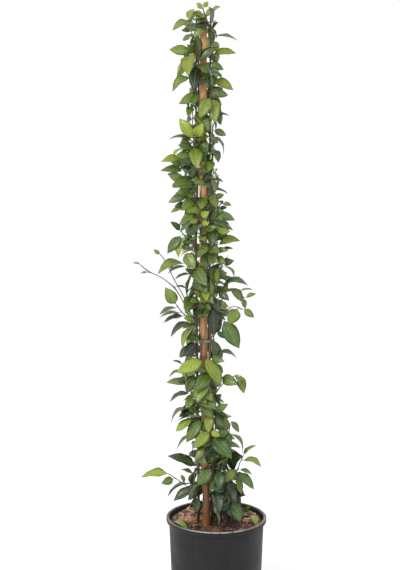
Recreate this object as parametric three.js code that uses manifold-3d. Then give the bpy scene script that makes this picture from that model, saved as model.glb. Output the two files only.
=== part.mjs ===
// A potted jasmine: a twining plant tied to one bamboo cane, in a black nursery pot.
// Millimetres, +Z up, the plant's front towards -Y, origin at the middle of the pot's underside.
import * as THREE from "three";
import { mergeVertices } from "three/addons/utils/BufferGeometryUtils.js";
import Module from "manifold-3d";

const wasm = await Module();
wasm.setup();

// Driving dimensions: the pot
const POT_HEIGHT = 190;
const RIM_RADIUS = 100;
const BODY_RADIUS = 94.5;
const BASE_RADIUS = 86;
const LIP_HEIGHT = 9.5;
const LIP_WIDTH = 5;
const LIP_SLOPE = 2.5;
const LIP_ROUNDING = 1.5;
const FOOT_ROUNDING = 2;
const WALL = 2;
const FLOOR = 2.5;
const POT_SIDES = 40;
const DRAIN_HOLES = 6;
const DRAIN_RADIUS = 6;
const DRAIN_CIRCLE = 60;

// Driving dimensions: what the pot holds
const SOIL_TOP = 170;
const MULCH_TOP = 175;
const MULCH_SIDES = 36;
const CHIP_COUNT = 16;
const CHIP_LENGTH = [10, 22];
const CHIP_WIDTH = [5, 10];
const CHIP_THICKNESS = 3.5;
const CHIP_SPIRAL = 2.4;
const GAP = 0.3;

// Driving dimensions: the cane
const CANE_FOOT = new THREE.Vector2(-19.8, -26);
const CANE_TOP = new THREE.Vector2(-25.7, -24);
const CANE_BOW = 3.6;
const CANE_BOTTOM = 84;
const CANE_END = 1182;
const CANE_FOOT_RADIUS = 7;
const CANE_TOP_RADIUS = 7.1;
const CANE_NODES = [262, 511, 742, 958];
const NODE_SWELL = 0.9;
const NODE_BELOW = 7;
const NODE_ABOVE = 3;
const NEXT_RING = 110;

// Driving dimensions: stems, ties, twigs and leaves
const VINE_BOTTOM = 120;
const VINE_TOP = 1186;
const VINE_FOOT_RADIUS = 3;
const VINE_TOP_RADIUS = 1.7;
const VINE_REACH = 14;
const VINE_RINGS = 30;
const TIE_HEIGHTS = [323, 542, 767, 981];
const TIE_WIDTH = 5;
const TIE_THICKNESS = 1;
const TIE_SLACK = 0.6;
const TWIG_RADIUS = 1.2;
const TWIG_SIDES = 5;
const TWIG_SLOPE = 0.5;
const LEAF_SLENDER = 0.48;
const LEAF_STOUT = 0.54;
const LEAF_WIDEST = 0.36;
const LEAF_MIDDLE = 0.45;
const LEAF_SHOULDER = 0.7;
const LEAF_ARCH = 0.07;
const LEAF_FOLD = 0.3;
const SHOULDER_WIDTH = 0.74;
const STALK_RADIUS = 0.9;
const YOUNG_THICKNESS = 0.7;
const OLD_THICKNESS = 1.3;
const NECK_STANDOFF = 5;
const MOST_LEAN = 14;
const LEAF_CLEARANCE = 0.5;
const TWIG_CLEARANCE = 0.2;

// Places on the plant are measured by eye, as it is seen from the front, in steps of 2 mm: across from the
// pot's axis, up from its rim and forward of the axis. What is nearer to the viewer is drawn in to suit.
const STEP = 2;
const VIEWER = new THREE.Vector3(-33, -1600, 721);

function place([across, up, forward]) {
  const flat = new THREE.Vector3(across * STEP, 0, POT_HEIGHT + up * STEP);
  return flat.lerp(VIEWER, (forward * STEP) / -VIEWER.y);
}

// Closed meshes as solids, and back
function solidOf(geometry) {
  const bare = new THREE.BufferGeometry();
  bare.setAttribute("position", geometry.getAttribute("position"));
  bare.setIndex(geometry.index);
  const merged = mergeVertices(bare, 1e-4);
  const mesh = new wasm.Mesh({
    numProp: 3,
    vertProperties: new Float32Array(merged.getAttribute("position").array),
    triVerts: new Uint32Array(merged.index.array),
  });
  return new wasm.Manifold(mesh);
}

function geometryOf(solid) {
  const mesh = solid.getMesh();
  const geometry = new THREE.BufferGeometry();
  geometry.setAttribute("position", new THREE.BufferAttribute(mesh.vertProperties, mesh.numProp));
  geometry.setIndex(new THREE.BufferAttribute(mesh.triVerts, 1));
  geometry.computeVertexNormals();
  return geometry;
}

function largest(solid) {
  const bodies = solid.decompose();
  return bodies.reduce((best, body) => (body.volume() > best.volume() ? body : best));
}

// A seeded stream of numbers from 0 to 1, so that the mulch is the same each time.
function seeded(seed) {
  let state = seed;
  return () => {
    state = (state * 16807) % 2147483647;
    return state / 2147483647;
  };
}

// The pot: a turned shell with a rolled lip
function turned(profile, sides = POT_SIDES) {
  const points = profile.map(([radius, height]) => new THREE.Vector2(radius, height));
  return solidOf(new THREE.LatheGeometry(points, sides).rotateX(Math.PI / 2));
}

function wallRadius(height) {
  const share = height / (POT_HEIGHT - LIP_HEIGHT);
  return THREE.MathUtils.lerp(BASE_RADIUS, BODY_RADIUS, share);
}

function makePot() {
  const lipFoot = POT_HEIGHT - LIP_HEIGHT;
  const shell = turned([
    [0, 0],
    [BASE_RADIUS - FOOT_ROUNDING, 0],
    [BASE_RADIUS, FOOT_ROUNDING],
    [BODY_RADIUS, lipFoot],
    [RIM_RADIUS - LIP_ROUNDING, lipFoot + 0.5],
    [RIM_RADIUS, lipFoot + 2],
    [RIM_RADIUS, POT_HEIGHT - LIP_ROUNDING],
    [RIM_RADIUS - LIP_ROUNDING, POT_HEIGHT],
    [RIM_RADIUS - LIP_WIDTH, POT_HEIGHT],
    [RIM_RADIUS - LIP_WIDTH - LIP_SLOPE, POT_HEIGHT - WALL],
    [wallRadius(lipFoot) - WALL, lipFoot - WALL],
    [wallRadius(WALL + FOOT_ROUNDING) - WALL, WALL + FOOT_ROUNDING],
    [BASE_RADIUS - WALL - FOOT_ROUNDING, FLOOR],
    [0, FLOOR],
  ]);
  const drill = new THREE.CylinderGeometry(DRAIN_RADIUS, DRAIN_RADIUS, 4 * WALL, 12).rotateX(Math.PI / 2);
  let pot = shell;
  for (let hole = 0; hole < DRAIN_HOLES; hole++) {
    const angle = ((hole + 0.5) * 2 * Math.PI) / DRAIN_HOLES;
    const bit = drill.clone().translate(DRAIN_CIRCLE * Math.cos(angle), DRAIN_CIRCLE * Math.sin(angle), 0);
    pot = pot.subtract(solidOf(bit));
  }
  return pot;
}

// Upright stems: rings of points round a centre line that is given for each height
function stem(profile, sides, centreAt) {
  const points = profile.map(([radius, height]) => new THREE.Vector2(radius, height));
  const geometry = new THREE.LatheGeometry(points, sides).rotateX(Math.PI / 2);
  const position = geometry.getAttribute("position");
  for (let index = 0; index < position.count; index++) {
    const centre = centreAt(position.getZ(index));
    position.setX(index, position.getX(index) + centre.x);
    position.setY(index, position.getY(index) + centre.y);
  }
  return solidOf(geometry);
}

// The cane bows a little to the left at half height.
function caneCentre(height) {
  const share = THREE.MathUtils.clamp((height - POT_HEIGHT) / (CANE_END - POT_HEIGHT), -0.2, 1);
  const centre = CANE_FOOT.clone().lerp(CANE_TOP, share);
  centre.x -= CANE_BOW * Math.sin(Math.PI * share);
  return centre;
}

function caneRadius(height) {
  return THREE.MathUtils.mapLinear(height, CANE_BOTTOM, CANE_END, CANE_FOOT_RADIUS, CANE_TOP_RADIUS);
}

function makeCane(extra = 0) {
  const profile = [[0, CANE_BOTTOM]];
  const addRing = (height, swell) => profile.push([caneRadius(height) + swell + extra, height]);
  addRing(CANE_BOTTOM, 0);
  addRing(MULCH_TOP + 1, 0);
  for (const node of CANE_NODES) {
    addRing(node - NODE_BELOW, 0);
    addRing(node, NODE_SWELL);
    addRing(node + NODE_ABOVE, 0);
    addRing(node + NEXT_RING, 0);
  }
  addRing(CANE_END, 0);
  profile.push([0, CANE_END]);
  return stem(profile, 12, caneCentre);
}

// Four main stems twine up the cane. Each row has the foot in the soil, the height at which the stem has
// reached the cane, and its way round the cane as heights and angles: 0 is right, 90 behind, 270 in front.
const VINES = [
  {
    name: "vine_left",
    foot: [2, -8],
    gathered: 320,
    turns: [
      [320, 335], [385, 292], [471, 300], [540, 335], [640, 318],
      [741, 255], [850, 205], [1000, 188], [1190, 185],
    ],
  },
  {
    name: "vine_right",
    foot: [27, 6],
    gathered: 380,
    turns: [[300, 40], [385, 25], [540, 42], [640, 35], [741, 8], [850, 0], [1000, 8], [1190, 5]],
  },
  {
    name: "vine_back",
    foot: [46, 16],
    gathered: 440,
    turns: [[300, 80], [385, 85], [540, 105], [741, 100], [1000, 80], [1190, 85]],
  },
  {
    name: "vine_rear_left",
    foot: [-36, 2],
    gathered: 320,
    turns: [
      [300, 190], [385, 185], [540, 200], [640, 190],
      [741, 172], [850, 140], [1000, 130], [1190, 133],
    ],
  },
];

function angleAt(turns, height) {
  const after = turns.findIndex(([level]) => level > height);
  if (after === 0) return turns[0][1];
  if (after < 0) return turns[turns.length - 1][1];
  const [low, from] = turns[after - 1];
  const [high, to] = turns[after];
  return THREE.MathUtils.lerp(from, to, THREE.MathUtils.smoothstep(height, low, high));
}

function vineCentre(vine, height) {
  const angle = THREE.MathUtils.degToRad(angleAt(vine.turns, height));
  const around = new THREE.Vector2(Math.cos(angle), Math.sin(angle)).multiplyScalar(VINE_REACH);
  const share = THREE.MathUtils.smoothstep(height, MULCH_TOP, vine.gathered);
  return new THREE.Vector2(...vine.foot).lerp(around.add(caneCentre(height)), share);
}

function vineRadius(height) {
  return THREE.MathUtils.mapLinear(height, VINE_BOTTOM, VINE_TOP, VINE_FOOT_RADIUS, VINE_TOP_RADIUS);
}

function makeVine(vine, extra = 0) {
  const profile = [[0, VINE_BOTTOM]];
  for (let ring = 0; ring <= VINE_RINGS; ring++) {
    const height = THREE.MathUtils.lerp(VINE_BOTTOM, VINE_TOP, ring / VINE_RINGS);
    profile.push([vineRadius(height) + extra, height]);
  }
  profile.push([0, VINE_TOP]);
  return stem(profile, 6, (height) => vineCentre(vine, height));
}

const cane = makeCane();
const vines = VINES.map((vine) => makeVine(vine));
const stemCutter = wasm.Manifold.union([makeCane(GAP), ...VINES.map((vine) => makeVine(vine, GAP))]);

// Soil and mulch, with a socket for each stem
function makeRootBall() {
  const floor = FLOOR + GAP;
  const shoulder = 12;
  const block = turned([
    [0, floor],
    [wallRadius(floor) - WALL - 3, floor],
    [wallRadius(shoulder) - WALL - GAP, shoulder],
    [wallRadius(SOIL_TOP) - WALL - GAP, SOIL_TOP],
    [0, SOIL_TOP],
  ]);
  return block.subtract(stemCutter);
}

function makeMulch() {
  const random = seeded(7);
  const between = ([least, most]) => least + (most - least) * random();
  const low = SOIL_TOP + GAP;
  const high = MULCH_TOP - 1;
  const reach = wallRadius(SOIL_TOP) - WALL - 1;
  const chips = [turned([[0, low], [reach, low], [reach - 1, high], [0, high]], MULCH_SIDES)];
  for (let chip = 0; chip < CHIP_COUNT; chip++) {
    const box = new THREE.BoxGeometry(between(CHIP_LENGTH), between(CHIP_WIDTH), CHIP_THICKNESS);
    box.rotateX(0.5 * (random() - 0.5)).rotateZ(Math.PI * random());
    const away = (reach - 13) * Math.sqrt(random());
    const angle = chip * CHIP_SPIRAL;
    box.translate(away * Math.cos(angle), away * Math.sin(angle), high + 0.8 * random());
    chips.push(solidOf(box));
  }
  return largest(wasm.Manifold.union(chips).subtract(stemCutter));
}

// A tie is a taut band round the cane and the four stems.
function outlineRound(circles, margin) {
  const sides = 16;
  const points = [];
  for (const { centre, radius } of circles) {
    for (let side = 0; side < sides; side++) {
      const angle = (side * 2 * Math.PI) / sides;
      const spoke = new THREE.Vector2(Math.cos(angle), Math.sin(angle));
      points.push(spoke.multiplyScalar(radius + margin).add(centre));
    }
  }
  points.sort((a, b) => a.x - b.x || a.y - b.y);
  const turn = (a, b, c) => (b.x - a.x) * (c.y - a.y) - (b.y - a.y) * (c.x - a.x);
  const half = (list) => {
    const chain = [];
    for (const point of list) {
      while (chain.length > 1 && turn(chain.at(-2), chain.at(-1), point) <= 0) chain.pop();
      chain.push(point);
    }
    return chain.slice(0, -1);
  };
  return [...half(points), ...half(points.reverse())];
}

function makeTie(height) {
  const circles = VINES.map((vine) => ({ centre: vineCentre(vine, height), radius: vineRadius(height) }));
  circles.push({ centre: caneCentre(height), radius: caneRadius(height) });
  const band = new THREE.Shape(outlineRound(circles, TIE_SLACK + TIE_THICKNESS));
  band.holes.push(new THREE.Path(outlineRound(circles, TIE_SLACK)));
  const geometry = new THREE.ExtrudeGeometry(band, { depth: TIE_WIDTH, bevelEnabled: false });
  return solidOf(geometry.translate(0, 0, height - TIE_WIDTH / 2)).subtract(stemCutter);
}

// A leaf: a blade folded a little along its midrib, from its neck to its tip, on a stalk that starts in the
// twig. An old leaf is thicker at the midrib than a young one.
function leafGeometry({ root, neck, tip, normal, width, arch, age }, withStalk = true) {
  const along = tip.clone().sub(neck);
  const length = along.length();
  const side = along.clone().cross(normal).normalize();
  const at = (share, across, up) => {
    const point = neck.clone().addScaledVector(along, share);
    point.addScaledVector(side, across);
    return point.addScaledVector(normal, up + arch * length * 4 * share * (1 - share));
  };
  const half = width / 2;
  const rise = LEAF_FOLD * half;
  const thickness = THREE.MathUtils.lerp(YOUNG_THICKNESS, OLD_THICKNESS, age);
  const ring = [
    at(0, -STALK_RADIUS, 0),
    at(LEAF_WIDEST, -half, rise),
    at(LEAF_SHOULDER, -SHOULDER_WIDTH * half, SHOULDER_WIDTH * rise),
    at(1, 0, 0),
    at(LEAF_SHOULDER, SHOULDER_WIDTH * half, SHOULDER_WIDTH * rise),
    at(LEAF_WIDEST, half, rise),
    at(0, STALK_RADIUS, 0),
  ];
  const count = ring.length;
  const [top, under, heel] = [count, count + 1, count + 2];
  const middles = [thickness / 2, -thickness / 2].map((up) => at(LEAF_MIDDLE, 0, up));
  const points = [...ring, ...middles, at(0, 0, -STALK_RADIUS)];
  const faces = [[top, 0, count - 1], [under, count - 1, heel], [under, heel, 0]];
  for (let index = 0; index + 1 < count; index++) {
    faces.push([top, index + 1, index], [under, index, index + 1]);
  }
  if (withStalk) {
    const reach = neck.clone().sub(root).normalize();
    const up = normal.clone().addScaledVector(reach, -reach.dot(normal));
    if (up.length() < 0.3) up.copy(along).addScaledVector(reach, -reach.dot(along));
    up.normalize();
    const right = reach.clone().cross(up);
    points.push(root.clone().addScaledVector(right, -0.5 * STALK_RADIUS));
    points.push(root.clone().addScaledVector(right, 0.5 * STALK_RADIUS));
    points.push(root.clone().addScaledVector(up, -0.6 * STALK_RADIUS));
    const [left, rightFoot, low] = [count + 3, count + 4, count + 5];
    faces.push([left, rightFoot, count - 1], [left, count - 1, 0]);
    faces.push([count - 1, rightFoot, low], [count - 1, low, heel]);
    faces.push([left, 0, heel], [left, heel, low]);
    faces.push([rightFoot, left, low]);
  } else {
    faces.push([0, heel, count - 1]);
  }
  const geometry = new THREE.BufferGeometry().setFromPoints(points);
  geometry.setIndex(faces.flat());
  return geometry;
}

// The shoots seen from the front. Each has the places that its twig runs through, then a row for each leaf:
// base across and up, tip across and up, width as seen, age from 0 (new and lime green) to 1 (old and dark),
// and, where they are known, how far the tip leans forward and how much the leaf arches.
const FRONT_SHOOTS = {
  crown_left: {
    twig: [[-23, 450, 17], [-25.5, 464, 18], [-24, 480, 18], [-27.5, 497, 16.5]],
    leaves: [
      [-28, 496, -44, 485, 7, 0.45],
      [-24, 484, -35, 485, 4, 0.9],
      [-25, 480, -34, 475, 5, 0.6],
      [-26, 465, -47, 466, 10, 0.3],
      [-25, 462, -28, 440, 14, 0.3],
      [-20, 480, -25, 454, 6, 0.7],
      [-28, 497, -22, 507, 5, 0.2],
    ],
  },
  crown_right: {
    twig: [[-5, 456, 16], [-4, 472, 17], [-6, 486, 17], [-11, 500, 16], [-14, 508, 14]],
    leaves: [
      [-10, 489, -24, 476, 8, 0.45],
      [-6, 489, -22, 491, 5, 0.95],
      [-8, 488, -4, 470, 8, 0.9],
      [-1, 479.5, 22, 475, 2, 0.7],
      [-2, 462, 20, 462.5, 7, 0.35],
      [-5, 453, 7.5, 445.5, 7, 0.6],
      [-12, 500, 0, 506, 6, 0.2],
      [-13, 501, -24, 503, 6, 0.25],
      [-14, 507, -8, 514, 5, 0],
      [-14, 507, -20, 513, 5, 0],
    ],
  },
  upper_left: {
    twig: [[-23, 410, 18], [-23, 424, 19], [-25, 438, 19], [-22, 450, 18]],
    leaves: [
      [-26, 439, -44, 424, 8, 0.5, 2, 0.2],
      [-20, 450, -23, 424, 12, 0.9],
      [-17, 450, -16, 426, 6, 0.7],
      [-21, 420, -32, 429, 6, 0.65],
      [-20, 420, -37.5, 411.5, 10, 0.5],
      [-18, 421, -24, 410, 6, 0.7],
    ],
  },
  upper_right: {
    twig: [[-8, 404, 15], [-5, 418, 17], [-4, 432, 16], [-6, 450, 16]],
    leaves: [
      [-16, 455, 2, 469, 8, 0.8],
      [-10, 454, -10, 428, 8, 0.9],
      [-3, 444, 6, 437, 3, 0.7],
      [-4, 436, 17, 425.5, 9, 0.25],
      [-4, 424, 12, 420, 8, 0.7],
      [-7, 417, -17, 397, 13, 0.35],
      [-3, 416, -1, 392, 14, 0.4],
    ],
  },
  neck_left: {
    twig: [[-19, 350, 15], [-23, 360, 17], [-23, 370, 18], [-21.5, 378, 18]],
    leaves: [
      [-22, 376, -37, 397, 12, 0],
      [-21.5, 377, -13, 392, 12, 0],
      [-23, 374, -48, 376, 3, 0.9, 0, 0.15],
      [-21, 368, -19, 346, 14, 0.45],
      [-24, 368, -30, 350, 8, 0.45],
      [-26, 360, -41, 359, 7, 0.45],
    ],
  },
  sprig_left: {
    twig: [[-24, 332, 12], [-30, 340, 14], [-35, 352, 15], [-42, 360, 15]],
    leaves: [
      [-36, 357, -55, 354, 8, 0.1],
      [-43, 360, -37, 367, 3, 0.1],
      [-34, 350, -45, 353, 7, 0.7],
      [-34, 345, -56, 345, 8, 0.7],
      [-32, 335, -49, 342, 9, 0.35],
      [-27, 337, -20, 350, 8, 0.9],
    ],
  },
  neck_right: {
    twig: [[-6, 350, 14], [-3, 366, 16], [-5, 380, 15], [-1, 397, 14]],
    leaves: [
      [-5, 380, 7, 361, 3, 0.7, 0, 0.2],
      [-11, 376, -13, 352, 12, 0.7],
      [-4, 367, 2, 353, 8, 0.85],
      [1, 401, 14, 399.5, 3, 0.9],
      [-13, 350, -4, 346, 7, 0.25],
      [-4, 386, 10, 380, 7, 0.6],
    ],
  },
  shoulder_right: {
    twig: [[-9, 311, 15], [-6, 322, 17], [-6, 334, 17], [-8, 342, 17]],
    leaves: [
      [-13, 332, -5, 345, 8, 0.9],
      [-5, 336, 7, 334, 3, 0.8],
      [-4, 326, 12, 322, 2, 0.9],
      [-15, 336, -26, 335, 5, 0.6],
      [-13, 318, -15, 306, 12, 0.6],
    ],
  },
  shoulder_left: {
    twig: [[-21, 302, 14], [-25, 312, 15], [-29, 322, 15], [-33, 331, 14]],
    leaves: [
      [-33, 330, -44, 328, 4, 0.6],
      [-37, 331, -51, 326, 2.5, 0.7],
      [-26, 326, -40, 322, 9, 0.45],
      [-29, 319, -48, 313, 8, 0.7],
      [-31, 312, -42, 309, 5, 0.9],
      [-29, 308, -46, 303, 5, 0.45],
      [-23, 316, -35, 305, 12, 0.45, 8],
      [-23, 303, -32, 294, 10, 0.25, 5],
    ],
  },
  mid_right: {
    twig: [[-5, 290, 15], [0, 301, 17], [1, 312, 16], [-3, 318, 16]],
    leaves: [
      [1, 313, -15, 304, 10, 0.8],
      [-2, 314, 7, 311.5, 2, 1],
      [2, 308, -5, 292, 8, 0.8],
      [1, 304, 6.5, 295, 7, 0.3],
      [2, 307, 11, 308, 4, 0.9],
      [-2, 318, 8, 321, 6, 0.5],
    ],
  },
  young_knot: {
    twig: [[-14, 288, 23], [-16, 296, 24], [-17, 301, 24]],
    leaves: [
      [-16, 298, -7, 304, 8, 0],
      [-15, 295, -8, 290, 6, 0.05],
      [-17, 299, -22.5, 307, 4, 0.05],
      [-17, 296, -27, 293, 6, 0.3],
    ],
  },
  mid_left: {
    twig: [[-22, 270, 12], [-29, 277, 14], [-35, 284, 14]],
    leaves: [
      [-35, 284, -46, 294, 6, 0.9],
      [-31, 287, -26, 295, 4, 0.9],
      [-31, 280, -13, 291, 10, 0.8, -2],
      [-36, 279, -49, 262, 10, 0.7],
      [-34, 278, -38, 258, 5, 0.1, 4],
      [-22, 278, -34, 276, 5, 0.35, 3],
    ],
  },
  waist_right: {
    twig: [[-8, 250, 14], [-2, 262, 16], [1, 273, 16], [-1, 286, 15]],
    leaves: [
      [-3, 287, -5, 268, 12, 0.8],
      [1, 285, 14, 284, 7, 0.35],
      [2, 271, 24, 275, 8, 0.45, 0, 0.2],
      [-3, 267, -6, 249, 11, 0.6],
      [-11, 264, -11, 245, 11, 0.7],
      [6, 266, 17, 267, 3, 0.9],
      [1, 259, 10, 251, 7, 0.45],
    ],
  },
  waist_left: {
    twig: [[-18, 226, 14], [-23, 238, 16], [-27, 250, 16], [-24, 264, 16], [-22, 273, 16]],
    leaves: [
      [-23, 274, -34, 273, 6, 0.8],
      [-23, 268, -37, 268, 6, 0.6],
      [-30, 262, -21, 246, 13, 0.45, 8],
      [-17, 236, -31, 247, 7, 0.9],
      [-23, 237, -13, 224, 10, 0.75, 4],
      [-32, 249, -49, 242, 3, 0.9],
      [-33, 252, -58.5, 241.5, 4, 0.45, 4, 0.2],
      [-26, 242, -42, 236, 3, 0.7],
      [-17, 225, -34, 207, 6, 0.7, 3, 0.2],
    ],
  },
  hip_right: {
    twig: [[-6, 214, 14], [-1, 227, 16], [4, 240, 16], [6, 252, 15]],
    leaves: [
      [7, 253, 18, 255, 8, 0.9],
      [8, 249, 18, 237, 3, 0.7, 0, 0.2],
      [7, 231, 32, 230, 6, 0.8, 0, 0.2],
      [6, 237, 16, 238, 5, 0.9],
      [-7, 249, -3, 228, 8, 0.8],
      [2, 247, 1, 230, 6, 0.35, 5],
      [-7, 236, -6, 217, 4, 0.25],
      [3, 224, 13, 215, 8, 0.85],
    ],
  },
  trailing_twig: {
    twig: [[-24, 196, 13], [-31, 216, 17], [-37, 227, 18], [-45, 241, 19], [-50, 254, 18], [-56, 261, 18]],
    leaves: [
      [-56, 261, -63, 266, 4, 0.3],
      [-55, 260, -62, 256, 3, 0.5],
      [-47, 245, -41, 252, 3, 0.6],
    ],
  },
  long_tendril: {
    twig: [[-24, 190, 11], [-33, 214, 13], [-42, 228, 14], [-56, 239, 14], [-67, 243, 13], [-76, 251, 12]],
    leaves: [
      [-76, 251, -84, 252.5, 3, 0.15],
      [-76, 252, -72, 260, 3, 0.15],
      [-75, 250, -69, 256, 2.5, 0.2],
      [-67, 243, -76, 242, 2, 0.4],
      [-41, 229, -30, 227.5, 2, 0.9],
    ],
  },
  low_left: {
    twig: [[-22, 188, 15], [-28, 197, 18], [-34, 203, 20], [-40, 211, 20]],
    leaves: [
      [-41, 212, -51, 228, 12, 0.25, 4],
      [-43, 213, -61, 214, 2, 0.7],
      [-40, 208, -57, 201, 4, 0.7],
      [-35, 203, -57, 198, 2, 0.6],
      [-32, 200, -53, 193, 5, 0.85],
      [-27, 195, -46, 179, 6, 0.9],
    ],
  },
  inner_left: {
    twig: [[-21, 161, 17], [-23, 175, 18], [-22.5, 190, 18.5], [-21, 206, 18]],
    leaves: [
      [-21, 211, -30, 208, 5, 0.45],
      [-22, 191, -34, 167, 10, 0.15, 6],
      [-20, 172, -33, 159, 12, 1, 3],
      [-26, 170, -37, 158, 8, 0.85, -4],
      [-22, 200, -12, 207, 6, 0.6],
    ],
  },
  low_mid: {
    twig: [[-4, 176, 16], [-3, 192, 18], [-5, 208, 18], [-8, 219, 18]],
    leaves: [
      [-10, 220, -23, 205, 12, 0.8],
      [-4, 207, -3, 178, 12, 1],
      [0, 200, 3, 180, 8, 0.9],
      [1, 184, 9, 177, 5, 0.9],
      [-2, 210, 7, 212, 4, 0.2],
    ],
  },
  sprig_right: {
    twig: [[-2, 214, 11], [6, 220, 13], [13, 226, 13], [20, 222, 13], [28, 218, 12]],
    leaves: [
      [14, 227, 29, 210, 8, 0.7],
      [25, 218, 29, 206, 5, 0.4],
      [20, 223, 36, 226, 2.5, 0.6],
      [30, 218, 40, 222, 4, 0.3],
      [30, 217, 43, 216, 2, 0.9],
      [7, 222, 12, 233, 5, 0.6],
    ],
  },
  cluster_right: {
    twig: [[-2, 186, 14], [4, 196, 17], [10, 204, 19], [17, 210, 20], [26, 206, 20]],
    leaves: [
      [27, 207, 43, 211, 6, 0.45],
      [28, 206, 38, 198, 7, 0.5],
      [30, 205, 49, 203, 2.5, 0.7],
      [25, 204, 41, 192, 4, 0.85],
      [22, 208, 12, 191, 13, 0.4, 5],
      [8, 194, 23, 167, 16, 0.7],
      [11, 206, 4, 215, 5, 0.6],
    ],
  },
  knee_right: {
    twig: [[-5, 144, 18], [-3, 156, 20], [-4, 171, 19]],
    leaves: [
      [-6, 175, 4, 160, 8, 0.85],
      [-5, 158, 8, 154, 8, 0.6],
      [1, 162, 21, 156, 4, 0.85, 0, 0.2],
      [-3, 152, 7, 143, 7, 0.7],
    ],
  },
  bright_pair: {
    twig: [[-10, 142, 19], [-12, 150, 21], [-12, 156, 22]],
    leaves: [
      [-13, 155, -40, 143, 14, 0, 3],
      [-11, 156, 5, 130, 13, 0.25, 4],
      [-12, 158, -7, 167, 4, 0.1],
    ],
  },
  knee_left: {
    twig: [[-19, 114, 14], [-26, 126, 16], [-29, 138, 16], [-33, 150, 15]],
    leaves: [
      [-34, 151, -44, 155, 2, 0.7],
      [-34, 146, -48, 138, 2, 0.7],
      [-30, 140, -38, 133, 5, 0.9],
      [-29, 131, -50, 133.5, 4, 0.4],
      [-22, 140, -30, 122, 12, 0.75, 8],
      [-28, 122, -47, 113, 5, 0.85, 0, 0.15],
      [-24, 119, -29, 107, 9, 0.3, 6],
    ],
  },
  calf_right: {
    twig: [[-5, 110, 13], [0, 123, 15], [7, 132, 17], [14, 138, 18], [23, 141, 18]],
    leaves: [
      [6, 138, 22, 131, 11, 0.6],
      [18, 141, 24, 130, 5, 0.6],
      [24, 143, 35, 145.5, 5, 0.7],
      [24, 140, 27.5, 122, 9, 0.45, 3],
      [14, 136, 24, 126, 2, 0.5],
      [2, 127, -8, 120, 6, 0.7],
    ],
  },
  shin_right: {
    twig: [[-4, 75, 18], [-3, 88, 21], [-3, 100, 22], [-8, 112, 22]],
    leaves: [
      [-14, 113, -4, 97, 11, 0.6, 6],
      [-1, 105, 12, 111.5, 7, 0.45],
      [-2, 98, 8, 88, 7, 0.75],
      [-7, 101, -8, 82, 10, 0.2, 5],
      [-5, 84, 4, 79, 7, 0.1],
      [-7, 84, -23, 67, 11, 0.15, 5],
      [-3, 77, -12, 68, 6, 0.6],
    ],
  },
  shin_far_right: {
    twig: [[-1, 60, 13], [6, 71, 15], [12, 81, 16], [14, 92, 16]],
    leaves: [
      [11, 84, 8, 100, 8, 0.6],
      [15, 94, 23, 83, 6, 0.65],
      [14, 81, 8, 67, 8, 0.3, 5],
      [14, 82, 26, 61, 3, 0.7, 0, 0.2],
      [8, 70, 8, 48, 9, 0.75],
      [4, 66, 16, 60, 5, 0.6],
    ],
  },
  shin_left: {
    twig: [[-20, 76, 17], [-24, 88, 18], [-25, 101, 18], [-22, 112, 17]],
    leaves: [
      [-24, 112, -34, 106, 2, 0.7],
      [-25, 108, -45.5, 92, 3, 0.7, 3, 0.2],
      [-23, 103, -38, 99, 5, 0.9, -2],
      [-17, 99, -39.5, 95, 4, 0.9, -5],
      [-25, 95, -41, 84, 8, 0.05, 4],
      [-16, 96, -30, 73, 13, 0.6, 6],
      [-24, 82, -40, 66, 2, 0.7],
    ],
  },
  foot_right: {
    twig: [[4, 16, 9], [13, 31, 13], [20, 43, 15], [24, 54, 15], [27, 60, 15]],
    leaves: [
      [27, 61, 40, 70.5, 4, 0.15],
      [25, 56, 45.5, 48, 6, 0.15, 3, 0.2],
      [18, 46, 8, 33, 9, 0.35, 4],
      [15, 34, 16, 14, 7, 0.6],
      [20, 38, 25, 21, 7, 0.6],
      [22, 42, 38, 26, 9, 0.7],
      [23, 46, 36, 41, 4, 0.5],
    ],
  },
  ankle_right: {
    twig: [[1, 22, 15], [3, 36, 17], [2, 50, 19], [-2, 64, 21]],
    leaves: [
      [-8, 69, -22, 55, 8, 0.45, 4],
      [4, 46, 3, 26, 12, 0.85],
      [-1, 38, -6, 22, 5, 0.65, 4],
      [-5, 47, -20, 29, 13, 0.7, 3],
      [1, 50, 12, 56, 5, 0.5],
    ],
  },
  foot_left: {
    twig: [[-19, 22, 14], [-29, 29, 20], [-40, 37, 25], [-48, 42, 27]],
    leaves: [
      [-49, 42, -75.5, 38.5, 8, 0.05],
      [-48, 40, -69.5, 28.5, 4, 0.4],
      [-42, 37, -55, 32, 8, 0.6],
      [-31, 31, -36, 41, 4, 0.4],
    ],
  },
  foot_left_low: {
    twig: [[-20, 14, 17], [-21, 24, 18], [-22, 34, 18], [-21, 47, 18]],
    leaves: [
      [-22, 50, -49, 60, 10, 0.9],
      [-24, 32, -49, 18, 3, 0.9, 2, 0.15],
      [-24, 27, -43, 14.5, 7, 0.9, 2],
      [-19, 31, -28, 19, 5, 0.85, 5],
      [-18, 16, -20, 2, 7, 0.85, 3],
      [-23, 42, -36, 46, 4, 0.6],
    ],
  },
};

// The rear of the plant: shoots like those in front, turned round the cane and lifted a little.
const REAR_SHOOTS = [
  ["crown_left", -90, 6],
  ["upper_right", 95, -8],
  ["neck_left", -95, 10],
  ["shoulder_left", -80, 4],
  ["shoulder_left", -165, -34],
  ["waist_right", 90, 12],
  ["hip_right", 100, -6],
  ["waist_left", -100, -20],
  ["inner_left", -100, -10],
  ["knee_left", -90, 16],
  ["shin_right", 140, -6],
  ["foot_left_low", -100, 20],
];

const SEEDLING = {
  twig: [[24, -9, 2], [26, -3, 2], [28, 3, 2]],
  leaves: [
    [29, 4, 34, 11, 5, 0.65],
    [27, 3, 21, 9, 5, 0.7],
    [29, 2, 38, 3, 4, 0.6],
    [26, -1, 19, -5, 6, 0.7, 5],
  ],
};

// Shoots take shape in two rounds, twigs first and then leaves. Each new piece keeps clear of what is there.
const taken = [];

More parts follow.
